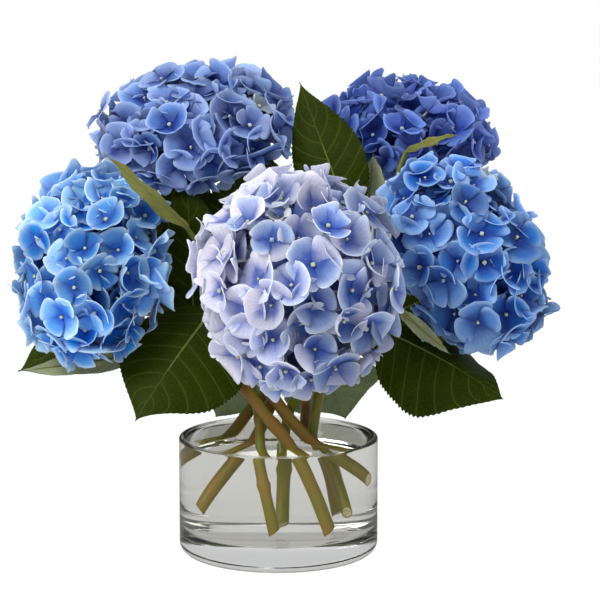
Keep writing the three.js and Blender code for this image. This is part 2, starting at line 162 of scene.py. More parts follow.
LEAVES = {
    "leaf_front_left": leaf(
        (-34, -5, 162), (-50, -10, 185), (-104, -60, 113), 98,
        (0.07, -0.66, 0.71), -0.12, 5, 2.5, "deep", blunt=0.7,
    ),
    "leaf_front_right": leaf(
        (70, -19, 168), (76, -16, 173), (165, -53, 128), 88,
        (0.15, -0.5, 0.79), -0.28, 4, 2, "deep", 0.95, 0.62,
    ),
    "leaf_right_fold": leaf(
        (58, -18, 159), (88, -52, 194), (126, -60, 162), 11, (0.1, 0.9, -0.4), 0.3, 2, 1, "deep"
    ),
    "leaf_inner_left": leaf(
        (-28, -6, 147), (-63, 23, 156), (-69, 32, 284), 61, (-0.23, -0.88, 0.15), 0.1, 2, 2, "deep", blunt=0.6
    ),
    "leaf_far_left": leaf(
        (-70, 4, 169), (-104, 53, 174), (-198, 21, 134), 60,
        (-0.29, -0.7, 1.01), 0.1, 3, 1.5, "deep", 0.95, 0.6,
    ),
    "leaf_far_left_low": leaf(
        (-66, 2, 166), (-98, -2, 152), (-194, -15, 141), 20, (0.2, 1, -0.75), 0.15, 2, 1, "deep", blunt=0.65
    ),
    "leaf_back": leaf(
        (38, 14, 226), (55, 21, 249), (16, 53, 351), 56, (-0.3, -0.93, 0.39), 0.1, 2, 1.5, "deep"
    ),
    "leaf_back_pale": leaf(
        (37, 11, 200), (64, 36, 238), (72, 40, 298), 38, (0.6, 0.8, -0.1), 0.15, 2, 1, "deep"
    ),
    "leaf_top_right": leaf(
        (66, 24, 182), (96, 42, 299), (134, 24, 314), 9, (-0.3, -0.6, 0.75), 0.15, 2, 1, "young"
    ),
    "leaf_left_edge": leaf(
        (-29, 19.5, 172), (-66, -14, 248), (-126, -46, 308), 24, (0.5, -0.4, 0.75), 0.1, 0, 1, "young"
    ),
    "leaf_low_left": leaf(
        (4, 8, 140), (-20, 44, 143), (-50, 88, 85), 72, (0.1, 0.9, 0.3), 0.1, 3, 2, "soft", 0.95, 0.6
    ),
    "leaf_low_right": leaf(
        (32, 4, 126), (30, 42, 143), (52, 86, 84), 76, (-0.1, 0.9, 0.3), 0.1, 3, 2, "soft", 0.95, 0.6
    ),
    "leaf_rear_left": leaf(
        (-29, 19.5, 172), (-34, 63, 168), (-105, 72, 287), 90, (-0.03, -0.9, 0.31), 0.12, 6, 2.5, "deep"
    ),
    "leaf_rear_right": leaf(
        (40, 40.5, 188), (54, 59, 158), (180, 72, 211), 86, (-0.39, -0.94, -0.12), 0.12, 6, 2.5, "deep"
    ),
    "leaf_rear_centre": leaf(
        (22, 25, 166), (-17, 62, 212), (-15, 47, 305), 83, (0.09, -1, 0.3), 0.1, 6, 2.5, "deep"
    ),
}
CORE_SHARE = 0.72  # how deep in a bloom its stem ends, as a share of the height below the centre
TIP_DEPTH = 6  # how far a stem runs past that
LAST_BEND = 16  # how far before that a stem is in line with the bloom
SKIRT_ANGLE = math.radians(134)  # from a bloom's crown to its lowest florets
HUB_SHARE = 0.5  # how far out in a bloom its main branches fork
RAYS = 13  # main branches in a bloom

# ---- make-up of the glass and the water ----
GLASS_IOR = 1.5
WATER_IOR = 1.333
WETTED_IOR = 1.125  # from water into glass
RIM_STRAIGHT = 0.65  # how much of the light goes straight through the rim
# How far from the glass, in millimetres, and what share of the meniscus the water has climbed there.
CLIMB = (
    (0.0, 1.0), (0.35, 0.72), (0.8, 0.47), (1.5, 0.26), (2.6, 0.11), (4.2, 0.03), (6.5, 0.0), (9.0, 0.0),
)

# ---- make-up of the florets, leaves and stems ----
# Each layer of a bloom's florets: its depth as a share of the bloom's size, how far its florets may tilt,
# their shares of the full length and the full cup, the first one's turn, and the grid across a sepal.
FLORET_LAYERS = {
    "outer": dict(depth=1.0, tilt=math.radians(38), sepal=1.0, cup=1.0, phase=0.0, cells=6),
    "inner": dict(depth=0.81, tilt=math.radians(30), sepal=0.92, cup=0.75, phase=1.3, cells=5),
    "core": dict(depth=0.66, tilt=math.radians(25), sepal=0.95, cup=0.75, phase=2.1, cells=4),
}
BLEACHED_ODDS = 0.28  # how many sepals are paler than their floret
YOUNG_ODDS = 0.025  # how many outer florets are young, small and greenish
YOUNG_SHARE = 0.6  # how green those are
YOUNG_SIZE = 0.6  # how long their sepals are
BUD_RISE = 1.3  # height of a bud's middle over its floret's
VEIN_PAIRS = 8.5  # side veins on each half of a leaf
VEIN_SLANT = 0.2  # how far along the leaf a side vein climbs on its way to the edge
VEIN_BEND = 1.25  # how much more it climbs near the edge
VEIN_SHIFT = 0.18  # how far the two halves' veins stand out of step
LEAF_COLUMNS = 18  # grid across a leaf
STEM_RINGS = 110  # rings along a stem
STEM_SIDES = 18
CURVE_STEPS = 24  # steps between two given points of a curve
# How brown the bark of each flower stem and shoot is.
BROWNING = {
    "stem_left": 0.62, "stem_right": 0.5, "stem_back_left": 0.58, "stem_back_right": 0.68, "stem_front": 0.85,
    "shoot_left": 0.6, "shoot_right": 0.25, "shoot_back": 0.35,
}
CAMERA_PLACE = (0.0163, -1.871, 0.498)
CAMERA_DIP = math.radians(9.28)  # how far the camera looks down


def linear(red, green, blue):
    """A colour picked on a 0 to 255 scale, as the shaders want it."""
    shares = (c / 255 for c in (red, green, blue))
    return tuple(s / 12.92 if s <= 0.04045 else ((s + 0.055) / 1.055) ** 2.4 for s in shares)


SEPAL_PARTS = ("rim", "face", "heart", "blush")
# Each bloom's colours: the rim of a sepal, also used for the painted highlight along its edge; its face; its
# heart by the bud, partly painted shade inside the cup; and the blush colour that some florets take at random
# and that painted light spreads over the bloom's lit side.
PETAL_COLOURS = {
    "bloom_front": ((244, 248, 254), (156, 180, 226), (56, 90, 178), (238, 232, 246)),
    "bloom_left": ((214, 238, 255), (34, 156, 240), (0, 90, 198), (168, 218, 250)),
    "bloom_right": ((184, 216, 252), (36, 125, 211), (0, 58, 156), (142, 186, 240)),
    "bloom_back_left": ((190, 212, 248), (98, 142, 212), (10, 48, 138), (166, 182, 232)),
    "bloom_back_right": ((152, 176, 234), (78, 120, 208), (14, 50, 146), (116, 136, 212)),
}


def colour(label, what, rgb):
    kind = dict(subtype="COLOR", size=3, min=0, max=1)
    return FloatVectorProperty(name=label, description=what, default=linear(*rgb), **kind)


def length(label, what, millimetres):
    kind = dict(subtype="DISTANCE", unit="LENGTH", min=0, max=1)
    return FloatProperty(name=label, description=what, default=millimetres * MM, **kind)


def amount(label, what, default, least=0.0, **kind):
    return FloatProperty(name=label, description=what, default=default, min=least, **kind)


def number(label, what, default, least, most):
    return IntProperty(name=label, description=what, default=default, min=least, max=most)


class VaseSizes(bpy.types.PropertyGroup):
    """Sizes of the glass and the water in it."""

    radius: length("Radius", "Outside radius of the cylinder", VASE_BOX[1].x / MM)
    height: length("Height", "Height of the rim above the table", VASE_BOX[1].z / MM)
    wall: length("Wall", "Thickness of the glass wall", 4.2)
    floor: length("Base", "Thickness of the heavy base", 19)
    corner: length("Lower corner", "Radius of the outer lower corner", 9)
    fillet: length("Inner corner", "Radius between the base and the wall inside", 6)
    water_level: length("Water level", "Height of the water", WATER_BOX[1].z / MM)
    meniscus: length("Meniscus", "How far the water climbs the glass", 1.6)
    sides: number("Sides", "Steps round the glass", 144, 24, 256)


class BloomSizes(bpy.types.PropertyGroup):
    """Sizes of the florets and the branches that hold them."""

    sepal: length("Sepal", "Length of a sepal from bud to rim", 20.5)
    thickness: length("Petal thickness", "Thickness of a sepal", 0.38)
    outer_area: amount("Floret area", "Surface of a bloom under one floret, in mm2", 600, 300)
    inner_area: amount("Inner floret area", "The same for the layer below", 1000, 300)
    core_area: amount("Innermost floret area", "The same for the lowest layer", 1200, 300)
    bud: length("Bud", "Radius of the bud in a floret's middle", 1.55)
    pedicel: length("Pedicel", "Radius of the stalk under a floret", 0.75)
    ray: length("Ray", "Radius of a main branch in a bloom", 2.0)


class StemSizes(bpy.types.PropertyGroup):
    """Sizes of the stems, shoots and leaves."""

    stem: length("Stem", "Radius of a flower stem", 4.5)
    shoot: length("Shoot", "Radius of a leafy shoot", 3.8)
    swell: amount("Joint swelling", "How much a stem thickens at a joint", 0.17, max=1, subtype="FACTOR")
    petiole: length("Leaf stalk", "Radius of a leaf's stalk", 2.2)
    leaf: length("Leaf thickness", "Thickness of a leaf blade", 0.5)
    teeth: number("Leaf teeth", "Teeth along one side of a leaf", 34, 6, 60)
    quilt: length("Leaf relief", "Rise of a leaf between its veins", 0.5)


class PlantColours(bpy.types.PropertyGroup):
    """Colours of the petals, leaves, stems and glass."""

    bud: colour("Bud", "The buds in the florets' middles", (188, 194, 168))
    bud_blue: colour("Blue bud", "The bluish buds among them", (112, 134, 184))
    branch: colour("Branches", "Branches and pedicels inside a bloom", (172, 190, 168))
    leaf_deep: colour("Leaf", "Upper side of a full-grown leaf", (42, 55, 0))
    leaf_soft: colour("Low leaf", "Upper side of the low leaves", (104, 118, 84))
    leaf_young: colour("Young leaf", "Upper side of a young leaf", (142, 142, 78))
    leaf_vein: colour("Leaf vein", "Midrib and side veins", (96, 108, 40))
    leaf_under: colour("Leaf underside", "Pale lower side of a leaf", (158, 164, 128))
    stem: colour("Stem", "Green of a flower stem", (100, 95, 10))
    shoot: colour("Shoot", "Green of a leafy shoot", (90, 100, 10))
    bark: colour("Bark", "Reddish brown streaks on the stems", (112, 52, 22))
    pith: colour("Pith", "Pale face of a cut end", (206, 196, 148))
    glass: colour("Glass", "Tint of the glass", (255, 255, 255))
    water: colour("Water", "Tint of the water", (238, 238, 232))


for bloom, shades in PETAL_COLOURS.items():
    for part, rgb in zip(SEPAL_PARTS, shades):
        label = f"{bloom} {part}".replace("_", " ").capitalize()
        what = f"Colour of the {part} of a sepal"
        PlantColours.__annotations__[f"{bloom}_{part}"] = colour(label, what, rgb)


class StageLook(bpy.types.PropertyGroup):
    """The floor, the lights and the camera."""

    floor: colour("Floor", "The pale floor", (255, 255, 255))
    key: amount("Key light", "Soft light from the upper left", 58, subtype="POWER")
    fill: amount("Fill light", "Soft light from the right", 10, subtype="POWER")
    top: amount("Top light", "Soft light from above", 20, subtype="POWER")
    air: amount("Ambient light", "Light from all round", 0.5)
    lens: amount("Lens", "Focal length", 152, 10, unit="CAMERA")


# ---- small tools ----
def vec(millimetres):
    return Vector(millimetres) * MM


def within(value, low=0.0, high=1.0):
    return min(max(value, low), high)


def smoothstep(low, high, value):
    share = within((value - low) / (high - low))
    return share * share * (3 - 2 * share)


def curve_through(points, count):
    """Evenly spaced points on a centripetal Catmull-Rom curve through the given ones."""
    chain = [2 * points[0] - points[1], *points, 2 * points[-1] - points[-2]]
    dense = []
    for before, start, end, after in zip(chain, chain[1:], chain[2:], chain[3:]):
        pairs = ((before, start), (start, end), (end, after))
        k0, k1, k2 = (max((b - a).length, 1e-6) ** 0.5 for a, b in pairs)
        leave = ((start - before) / k0 - (end - before) / (k0 + k1) + (end - start) / k1) * k1
        arrive = ((end - start) / k1 - (after - start) / (k1 + k2) + (after - end) / k2) * k1
        for i in range(CURVE_STEPS):
            u = i / CURVE_STEPS
            near, far = 2 * u**3 - 3 * u**2 + 1, 3 * u**2 - 2 * u**3
            dense.append(start * near + leave * (u**3 - 2 * u**2 + u) + end * far + arrive * (u**3 - u**2))
    dense.append(points[-1].copy())
    runs = [0.0]
    for a, b in zip(dense, dense[1:]):
        runs.append(runs[-1] + (b - a).length)
    spaced, k = [], 0
    for i in range(count):
        wanted = runs[-1] * i / (count - 1)
        while k < len(runs) - 2 and runs[k + 1] < wanted:
            k += 1
        share = (wanted - runs[k]) / max(runs[k + 1] - runs[k], 1e-9)
        spaced.append(dense[k].lerp(dense[k + 1], min(share, 1.0)))
    return spaced


def sweep(bm, path, radii, sides, grain, slot=0, cap_start=True):
    """A stalk along a path, as a circle carried on. The grain layer gets the place round it and along it."""
    last = len(path) - 1
    tangents = [(path[min(i + 1, last)] - path[max(i - 1, 0)]).normalized() for i in range(len(path))]
    turn = tangents[0].to_track_quat("Z", "Y")
    run = 0.0
    placed = Matrix.LocRotScale(path[0], turn, Vector((radii[0], radii[0], 1)))
    ring = bmesh.ops.create_circle(bm, cap_ends=False, segments=sides, radius=1.0)["verts"]
    for v in ring:
        v[grain] = (v.co.x, v.co.y, 0.0)
    bmesh.ops.transform(bm, matrix=placed, verts=ring)
    edges = list({e for v in ring for e in v.link_edges})
    faces = []
    if cap_start:
        faces += bmesh.ops.contextual_create(bm, geom=edges)["faces"]
    for i in range(1, len(path)):
        turn = tangents[i - 1].rotation_difference(tangents[i]) @ turn
        run += (path[i] - path[i - 1]).length
        target = Matrix.LocRotScale(path[i], turn, Vector((radii[i], radii[i], 1)))
        made = bmesh.ops.extrude_edge_only(bm, edges=edges)["geom"]
        ring = [g for g in made if isinstance(g, bmesh.types.BMVert)]
        bmesh.ops.transform(bm, matrix=target @ placed.inverted(), verts=ring)
        for v in ring:
            v[grain].z = run
        faces += [g for g in made if isinstance(g, bmesh.types.BMFace)]
        ends = set(ring)
        edges = [g for g in made if isinstance(g, bmesh.types.BMEdge) and ends.issuperset(g.verts)]
        placed = target
    faces += bmesh.ops.contextual_create(bm, geom=edges)["faces"]
    for face in faces:
        face.material_index = slot
    bmesh.ops.recalc_face_normals(bm, faces=faces)


def mesh_from(name, bm, materials):
    """Turns a bmesh into a smooth mesh with its materials."""
    mesh = bpy.data.meshes.new(name)
    for face in bm.faces:
        face.smooth = True
    bm.to_mesh(mesh)
    bm.free()
    for material in materials:
        mesh.materials.append(material)
    return mesh


def put_in_scene(name, data):
    held = bpy.data.objects.new(name, data)
    bpy.context.scene.collection.objects.link(held)
    return held


def give_thickness(sheet, thickness):
    """Thickens a sheet away from its upper side. The lower side takes the second material."""
    wall = sheet.modifiers.new("thickness", "SOLIDIFY")
    wall.thickness, wall.offset, wall.material_offset = thickness, -1.0, 1


def finish_piece(name, bm, materials, node=None, slot=None):
    """Turns a bmesh into a piece that rides on the part's body."""
    piece = put_in_scene(name, mesh_from(name, bm, materials))
    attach(piece, "root")
    if node:
        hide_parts(node)
    return piece


# ---- shader tools ----
class Signal:
    """A value, colour or surface wired from one shader node to the next, with arithmetic on values."""

    def __init__(self, tree, socket):
        self.tree, self.socket = tree, socket

    def calc(self, operation, *others, clamp=False):
        given = dict(enumerate((self, *others)))
        return wired(self.tree, "Math", given, operation=operation, use_clamp=clamp)

    def __add__(self, other):
        return self.calc("ADD", other)

    def __sub__(self, other):
        return self.calc("SUBTRACT", other)

    def __rsub__(self, other):
        return self.calc("MULTIPLY_ADD", -1.0, other)

    def __mul__(self, other):
        return self.calc("MULTIPLY", other)

    def __truediv__(self, other):
        return self.calc("DIVIDE", other)

    def __pow__(self, other):
        return self.calc("POWER", other)

    def __abs__(self):
        return self.calc("ABSOLUTE")

    def highest(self, other):
        return self.calc("MAXIMUM", other)


def feed(tree, socket, value):
    """Links an input to the signal it takes, or sets it to a number or a colour."""
    if isinstance(value, Signal):
        tree.links.new(value.socket, socket)
    elif hasattr(value, "__len__") and len(value) < len(socket.default_value):
        socket.default_value = (*value, 1.0)
    else:
        socket.default_value = value


def add(tree, kind, inputs=(), **settings):
    """A shader node with its settings, and its inputs as values or signals."""
    made = tree.nodes.new("ShaderNode" + kind)
    for key, value in settings.items():
        setattr(made, key, value)
    for key, value in dict(inputs).items():
        feed(tree, made.inputs[key], value)
    return made


def outputs(tree, kind, inputs=(), **settings):
    """All the outputs of a new shader node, by name."""
    made = add(tree, kind, inputs, **settings)
    return {socket.name: Signal(tree, socket) for socket in made.outputs}


def wired(tree, kind, inputs=(), out=0, **settings):
    """One output of a new shader node."""
    return Signal(tree, add(tree, kind, inputs, **settings).outputs[out])


def split(vector):
    return list(outputs(vector.tree, "SeparateXYZ", {0: vector}).values())


def ramp(value, low, high, out_low=0.0, out_high=1.0):
    """A smooth step of a value."""
    given = {"Value": value, "From Min": low, "From Max": high, "To Min": out_low, "To Max": out_high}
    return wired(value.tree, "MapRange", given, interpolation_type="SMOOTHSTEP")


def blend(tree, share, first, second):
    """A mix of two colours."""
    return wired(tree, "Mix", {0: share, 6: first, 7: second}, out=2, data_type="RGBA")


def brightness(shade, factor):
    return wired(shade.tree, "HueSaturation", {"Color": shade, "Value": factor})


def noise(place, scale, detail=2.0, distortion=0.0):
    given = {"Vector": place, "Scale": scale, "Detail": detail, "Distortion": distortion}
    return wired(place.tree, "TexNoise", given)


def cells(place, scale, feature):
    return wired(place.tree, "TexVoronoi", {"Vector": place, "Scale": scale}, feature=feature)


def bumped(height, strength, distance):
    return wired(height.tree, "Bump", {"Height": height, "Strength": strength, "Distance": distance})


def effect_group(name, inputs, wire):
    """A shader node group, built once: inputs are name: default, and wire makes its outputs by name."""
    if name in bpy.data.node_groups:
        return bpy.data.node_groups[name]
    tree = bpy.data.node_groups.new(name, "ShaderNodeTree")
    kinds = {1: "NodeSocketFloat", 3: "NodeSocketVector", 4: "NodeSocketColor"}
    for key, value in inputs.items():
        kind = kinds[len(value) if hasattr(value, "__len__") else 1]
        tree.interface.new_socket(key, in_out="INPUT", socket_type=kind).default_value = value
    given = tree.nodes.new("NodeGroupInput").outputs
    made = wire(tree, {key: Signal(tree, given[key]) for key in inputs})
    for key in made:
        tree.interface.new_socket(key, in_out="OUTPUT", socket_type=kinds[4 if key == "Color" else 1])
    sink = tree.nodes.new("NodeGroupOutput")
    for key, signal in made.items():
        feed(tree, sink.inputs[key], signal)
    return tree


def sepal_colouring():
    """Colours of a sepal from the heart by the bud to the pale rim, with fanned veins and mottling. The deeper
    heart is partly painted shade inside the cup, the thin edge line is a painted highlight, and the tint paints
    light on the bloom's lit side and shade deep in the bloom.
    """

    def wire(tree, source):
        u, v = (axis * 2.0 - 1.0 for axis in split(source["Place"])[:2])
        u2, v2 = u * u, v * v
        edge = u2 + v2 - u2 * v2  # 0 in the middle of the sepal, 1 all round its edge
        x, y = u * (1.0 - v2 * 0.5) ** 0.5, v * (1.0 - u2 * 0.5) ** 0.5
        out = x * 0.5 + 0.5  # 0 by the bud, 1 at the far edge
        # Tint channels: the share of the blush colour, random and raised by painted light on the lit side; the
        # lightness, random tone plus painted light on the lit side and painted shade deep in the bloom; and
        # young green.
        blush, light, young = split(source["Tint"])
        cloud = noise(source["Object"], 95.0, 3.0)
        fine = noise(source["Object"], 520.0, 2.0)
        grown = (cloud - 0.5) * 0.55 + out
        # The heart's deeper colour by the bud is partly the sepal's own and partly painted shade inside the
        # floret's cup.
        shade = blend(tree, ramp(grown, 0.12, 0.85), source["Heart"], source["Face"])
        # Paler florets: partly random, partly painted light on the bloom's lit side.
        shade = blend(tree, blush * ramp(grown, 0.1, 0.7, 0.15, 1.0), shade, source["Blush"])
        fan = (y * 0.9).calc("ARCTAN2", out + 0.16)
        line = abs((fan * 13.0 + cloud * 2.2).calc("COSINE")) ** 9.0 * ramp(edge, 0.95, 0.35)
        dark = brightness(blend(tree, 0.5, shade, source["Heart"]), 0.9)
        shade = blend(tree, line * source["Veins"], shade, dark)
        # A thin pale line along the edge: a painted highlight where the sepal's edge catches the light.
        thin = ramp(edge, 0.86, 1.0) * ramp(cloud, 0.3, 0.65, 0.25, 1.0) * source["Edging"]
        pale = ramp(edge, 0.1, 1.0) * source["Paleness"] + thin
        rim = pale.calc("MULTIPLY", ramp(out, 0.25, 0.75, 0.0, 1.2), clamp=True)
        # Painted shade: sepals deep in the bloom are pulled towards the heart's colour and lose their pale rim.
        deep = ramp(light, 0.0, -1.6)  # 1 on the sepals deepest in the bloom
        shade = blend(tree, deep * 0.6, shade, source["Heart"])
        shade = blend(tree, rim * (1.0 - deep * 0.75), shade, source["Rim"])
        shade = blend(tree, young, shade, source["Young"])
        # Lighter or darker by the light channel: random tone, painted light on the lit side and painted shade
        # deep in the bloom.
        shade = brightness(shade, light * 0.24 + 0.85 + fine * 0.08)
        return {"Color": shade, "Height": line * -0.6 + fine * 0.5}

    colours = dict.fromkeys(("Rim", "Face", "Heart", "Blush"), (0.5, 0.6, 0.8, 1))
    given = {"Young": (*linear(206, 214, 196), 1), "Veins": 0.2, "Paleness": 0.4, "Edging": 0.5}
    places = dict.fromkeys(("Place", "Tint", "Object"), (0.0, 0.0, 0.0))
    return effect_group("sepal colouring", {**colours, **given, **places}, wire)


def leaf_colouring():
    """Green of a leaf with its midrib, side veins, fine net and puckered ground."""

    def wire(tree, source):
        across, along, reach = split(source["Place"])
        cloud = noise(source["Object"], 38.0, 4.0)
        fine = noise(source["Object"], 400.0, 2.0)
        climb = abs(reach) ** VEIN_BEND * VEIN_SLANT
        phase = (along - climb) * VEIN_PAIRS + across.calc("SIGN") * VEIN_SHIFT + cloud * 0.12
        off = 0.5 - abs(phase.calc("FRACT") - 0.5)  # how far from the nearest side vein
        glow = ramp(off, 0.2, 0.0)
        rib = ramp(abs(across) / (along * -0.0011 + 0.00145), 1.0, 0.45)
        ribbed = ramp(off, 0.05, 0.008).highest(rib)
        net = ramp(cells(source["Object"], 330.0, "DISTANCE_TO_EDGE"), 0.12, 0.0)
        lines = (ribbed * source["Vein share"]).highest(net * 0.12).highest(glow * 0.1)
        shade = brightness(source["Blade"], cloud * 0.7 + 0.62)
        shade = blend(tree, lines, shade, source["Vein"])
        height = (fine * 0.25 - net * 0.35 - ribbed) * source["Relief"]
        return {"Color": shade, "Height": height, "Lines": lines}

    colours = dict.fromkeys(("Blade", "Vein"), (0.03, 0.05, 0.01, 1))
    places = dict.fromkeys(("Place", "Object"), (0.0, 0.0, 0.0))
    return effect_group("leaf colouring", {**colours, "Vein share": 0.5, "Relief": 1.0, **places}, wire)


def stalk_colouring():
    """Green of a stalk with long streaks, brown patches and small corky spots. Below the waterline it is painted
    lighter and tan as painted light, and the part above is left darker as painted shade under the leaves.
    """

    def wire(tree, source):
        round_x, round_y, along = split(source["Grain"])
        long, short = ({0: round_x, 1: round_y, 2: along * share} for share in (28.0, 95.0))
        streak = noise(wired(tree, "CombineXYZ", long), 2.6, 4.0, 0.3)
        cork = ramp(cells(wired(tree, "CombineXYZ", short), 1.9, "F1"), 0.16, 0.07)
        patch = noise(source["Object"], 34.0, 3.0)
        shade = blend(tree, ramp(streak, 0.35, 0.7), source["Green"], brightness(source["Green"], 1.35))
        brown = ramp(streak * 0.55 + patch * 0.6, 0.5, 0.62) * source["Browning"]
        shade = blend(tree, brown, shade, source["Bark"])
        shade = blend(tree, cork * 0.5, shade, source["Bark"])
        shade = brightness(shade, ramp(patch, 0.3, 0.7, 0.74, 1.2))
        # Painted light: below the waterline the stalk is lighter and tan; above it the stalk keeps its darker
        # green as painted shade under the leaves.
        height_up = split(source["Object"])[2]
        soaked = ramp(height_up, source["Waterline"], source["Waterline"] - 4 * MM)
        shade = blend(tree, soaked * 0.26, shade, source["Soaked"])
        return {"Color": shade, "Height": cork * 0.6 + streak}

    colours = dict.fromkeys(("Green", "Bark"), (0.2, 0.2, 0.05, 1))
    given = {"Soaked": (*linear(164, 146, 24), 1), "Waterline": WATER_BOX[1].z, "Browning": 0.7}
    places = dict.fromkeys(("Grain", "Object"), (0.0, 0.0, 0.0))
    return effect_group("stalk colouring", {**colours, **given, **places}, wire)


def new_material(name):
    material = bpy.data.materials.new(name)
    material.use_nodes = True
    material.node_tree.nodes.clear()
    return material, material.node_tree


def object_place(tree):
    return wired(tree, "TexCoord", out="Object")


def from_layer(tree, layer):
    return wired(tree, "Attribute", out="Vector", attribute_name=layer)


def thin_sheet(tree, surface, shade, normal, share):
    """Lets light glow through a thin sheet: it scatters at the lit face and leaves freely by the other."""
    glow = wired(tree, "BsdfTranslucent", {"Color": shade, "Normal": normal})
    lit = wired(tree, "MixShader", {0: share, 1: surface, 2: glow})
    clear = wired(tree, "BsdfTransparent")
    inside = wired(tree, "NewGeometry", out="Backfacing")
    return wired(tree, "MixShader", {0: inside, 1: lit, 2: clear})


def show(tree, surface):
    add(tree, "OutputMaterial", {"Surface": surface})


def petal_material(name, parts, paleness, edging, lift=0.0, veins=0.2):
    """Soft petal finish. Lift bleaches it towards the rim's colour, for the underside."""
    material, tree = new_material(name)

    def lifted(key):
        return tuple(c + (r - c) * lift for c, r in zip(parts[key], parts["rim"]))

    given = {
        "Rim": parts["rim"], "Face": lifted("face"), "Heart": lifted("heart"), "Blush": parts["blush"],
        "Veins": veins, "Paleness": paleness, "Edging": edging, "Place": wired(tree, "UVMap", uv_map="Sepal"),
        "Tint": from_layer(tree, "tint"), "Object": object_place(tree),
    }
    made = outputs(tree, "Group", given, node_tree=sepal_colouring())
    normal = bumped(made["Height"], 0.25, 0.0004)
    surface = wired(tree, "BsdfPrincipled", {
        "Base Color": made["Color"], "Roughness": 0.55, "Specular IOR Level": 0.32,
        "Sheen Weight": 0.12, "Sheen Roughness": 0.4, "Normal": normal,
    })
    show(tree, thin_sheet(tree, surface, made["Color"], normal, 0.3))
    return material


def leaf_material(name, blade, vein, share, relief, roughness, through):
    """Waxy leaf finish. Share is how far the veins stand out, and through how much light the blade passes."""
    material, tree = new_material(name)
    given = {
        "Blade": blade, "Vein": vein, "Vein share": share, "Relief": relief,
        "Place": from_layer(tree, "blade"), "Object": object_place(tree),
    }
    made = outputs(tree, "Group", given, node_tree=leaf_colouring())
    normal = bumped(made["Height"], 0.6, 0.0005)
    surface = wired(tree, "BsdfPrincipled", {
        "Base Color": made["Color"], "Roughness": made["Lines"] * 0.15 + roughness,
        "Specular IOR Level": 0.06, "Normal": normal,
    })
    show(tree, thin_sheet(tree, surface, made["Color"], normal, through))
    return material


def stalk_material(name, green, bark, browning, roughness=0.5):
    """Bark of a stem, shoot, branch or leaf stalk. Browning is how strong its brown patches are."""
    material, tree = new_material(name)
    given = {
        "Green": green, "Bark": bark, "Browning": browning,
        "Grain": from_layer(tree, "grain"), "Object": object_place(tree),
    }
    made = outputs(tree, "Group", given, node_tree=stalk_colouring())
    show(tree, wired(tree, "BsdfPrincipled", {
        "Base Color": made["Color"], "Roughness": roughness, "Specular IOR Level": 0.4,
        "Normal": bumped(made["Height"], 0.5, 0.0004),
    }))
    return material


def mottled_material(name, shade, spot, scale, roughness=0.6):
    """A soft mottled finish, for pith and buds."""
    material, tree = new_material(name)
    cloud = noise(object_place(tree), scale, 3.0)
    mixed = blend(tree, ramp(cloud, 0.5, 0.72), shade, spot)
    normal = bumped(cloud, 0.3, 0.0003)
    show(tree, wired(tree, "BsdfPrincipled", {"Base Color": mixed, "Roughness": roughness, "Normal": normal}))
    return material


def clear_material(name, tint, ior, straight=0.0):
    """Clear glass or water. Shadow and soft rays go straight through, and a given share of the rest too."""
    material, tree = new_material(name)
    surface = wired(tree, "BsdfPrincipled", {
        "Base Color": tint, "Roughness": 0.0, "IOR": ior, "Transmission Weight": 1.0,
    })
    rays = outputs(tree, "LightPath")
    soft = rays["Is Shadow Ray"].highest(rays["Is Diffuse Ray"]).highest(straight)
    clear = wired(tree, "BsdfTransparent", {"Color": tint})
    show(tree, wired(tree, "MixShader", {0: soft, 1: surface, 2: clear}))
    return material


# ---- vase and water ----
def spun(profile, rounded, steps):
    """A closed body of revolution from a profile. Rounded maps a corner's index to its radius and steps."""
    bm = bmesh.new()
    corners = [bm.verts.new((x, 0, z)) for x, z in profile]
    for a, b in zip(corners, corners[1:]):
        bm.edges.new((a, b))
    bend = dict(offset_type="OFFSET", affect="VERTICES", profile=0.5, material=-1)
    for index, (radius, segments) in rounded.items():
        bmesh.ops.bevel(bm, geom=[corners[index]], offset=radius, segments=segments, **bend)
    turn = dict(cent=(0, 0, 0), axis=UPWARD, angle=2 * math.pi, use_merge=True)
    bmesh.ops.spin(bm, geom=bm.verts[:] + bm.edges[:], steps=steps, **turn)
    bmesh.ops.remove_doubles(bm, verts=bm.verts, dist=1e-6)
    bmesh.ops.dissolve_degenerate(bm, edges=bm.edges, dist=1e-7)
    bmesh.ops.recalc_face_normals(bm, faces=bm.faces)
    return bm


class HYDRANGEAS_OT_vase(bpy.types.Operator):
    """Builds the glass cylinder with its heavy base"""

    bl_idname = "hydrangeas.vase"
    bl_label = "Vase"

    def execute(self, context):
        size, shade = context.scene.vase_sizes, context.scene.plant_colours
        outer, inner, top = size.radius, size.radius - size.wall, size.height
        wet = size.water_level + size.meniscus
        ease = 1.2 * MM  # the walls stay straight beyond this from a rounded corner
        hair = 0.1 * MM  # how near a face has to be to count as on the inside
        profile = [
            (0, 0), (outer - size.corner - ease, 0), (outer, 0), (outer, size.corner + ease),
            (outer, top - size.wall / 2 - ease), (outer, top), (inner, top), (inner, wet + 0.4 * MM),
            (inner, wet), (inner, size.floor + size.fillet + ease), (inner, size.floor),
            (inner - size.fillet - ease, size.floor), (0, size.floor),
        ]
        lip = size.wall / 2 - 0.01 * MM
        rounded = {2: (size.corner, 14), 5: (lip, 8), 6: (lip, 8), 10: (size.fillet, 10)}
        bm = spun(profile, rounded, size.sides)
        for face in bm.faces:
            middle = face.calc_center_median()
            inside = math.hypot(middle.x, middle.y) < inner + hair and middle.z > size.floor - hair
            face.material_index = 2 if middle.z > wet else 1 if inside else 0
        glass = clear_material("clear glass", shade.glass, GLASS_IOR)
        wetted = clear_material("glass against water", shade.glass, WETTED_IOR)
        rim = clear_material("glass rim", shade.glass, GLASS_IOR, RIM_STRAIGHT)
        finish_piece("vase_glass", bm, [glass, wetted, rim], "vase", "clear_glass")
        return {"FINISHED"}


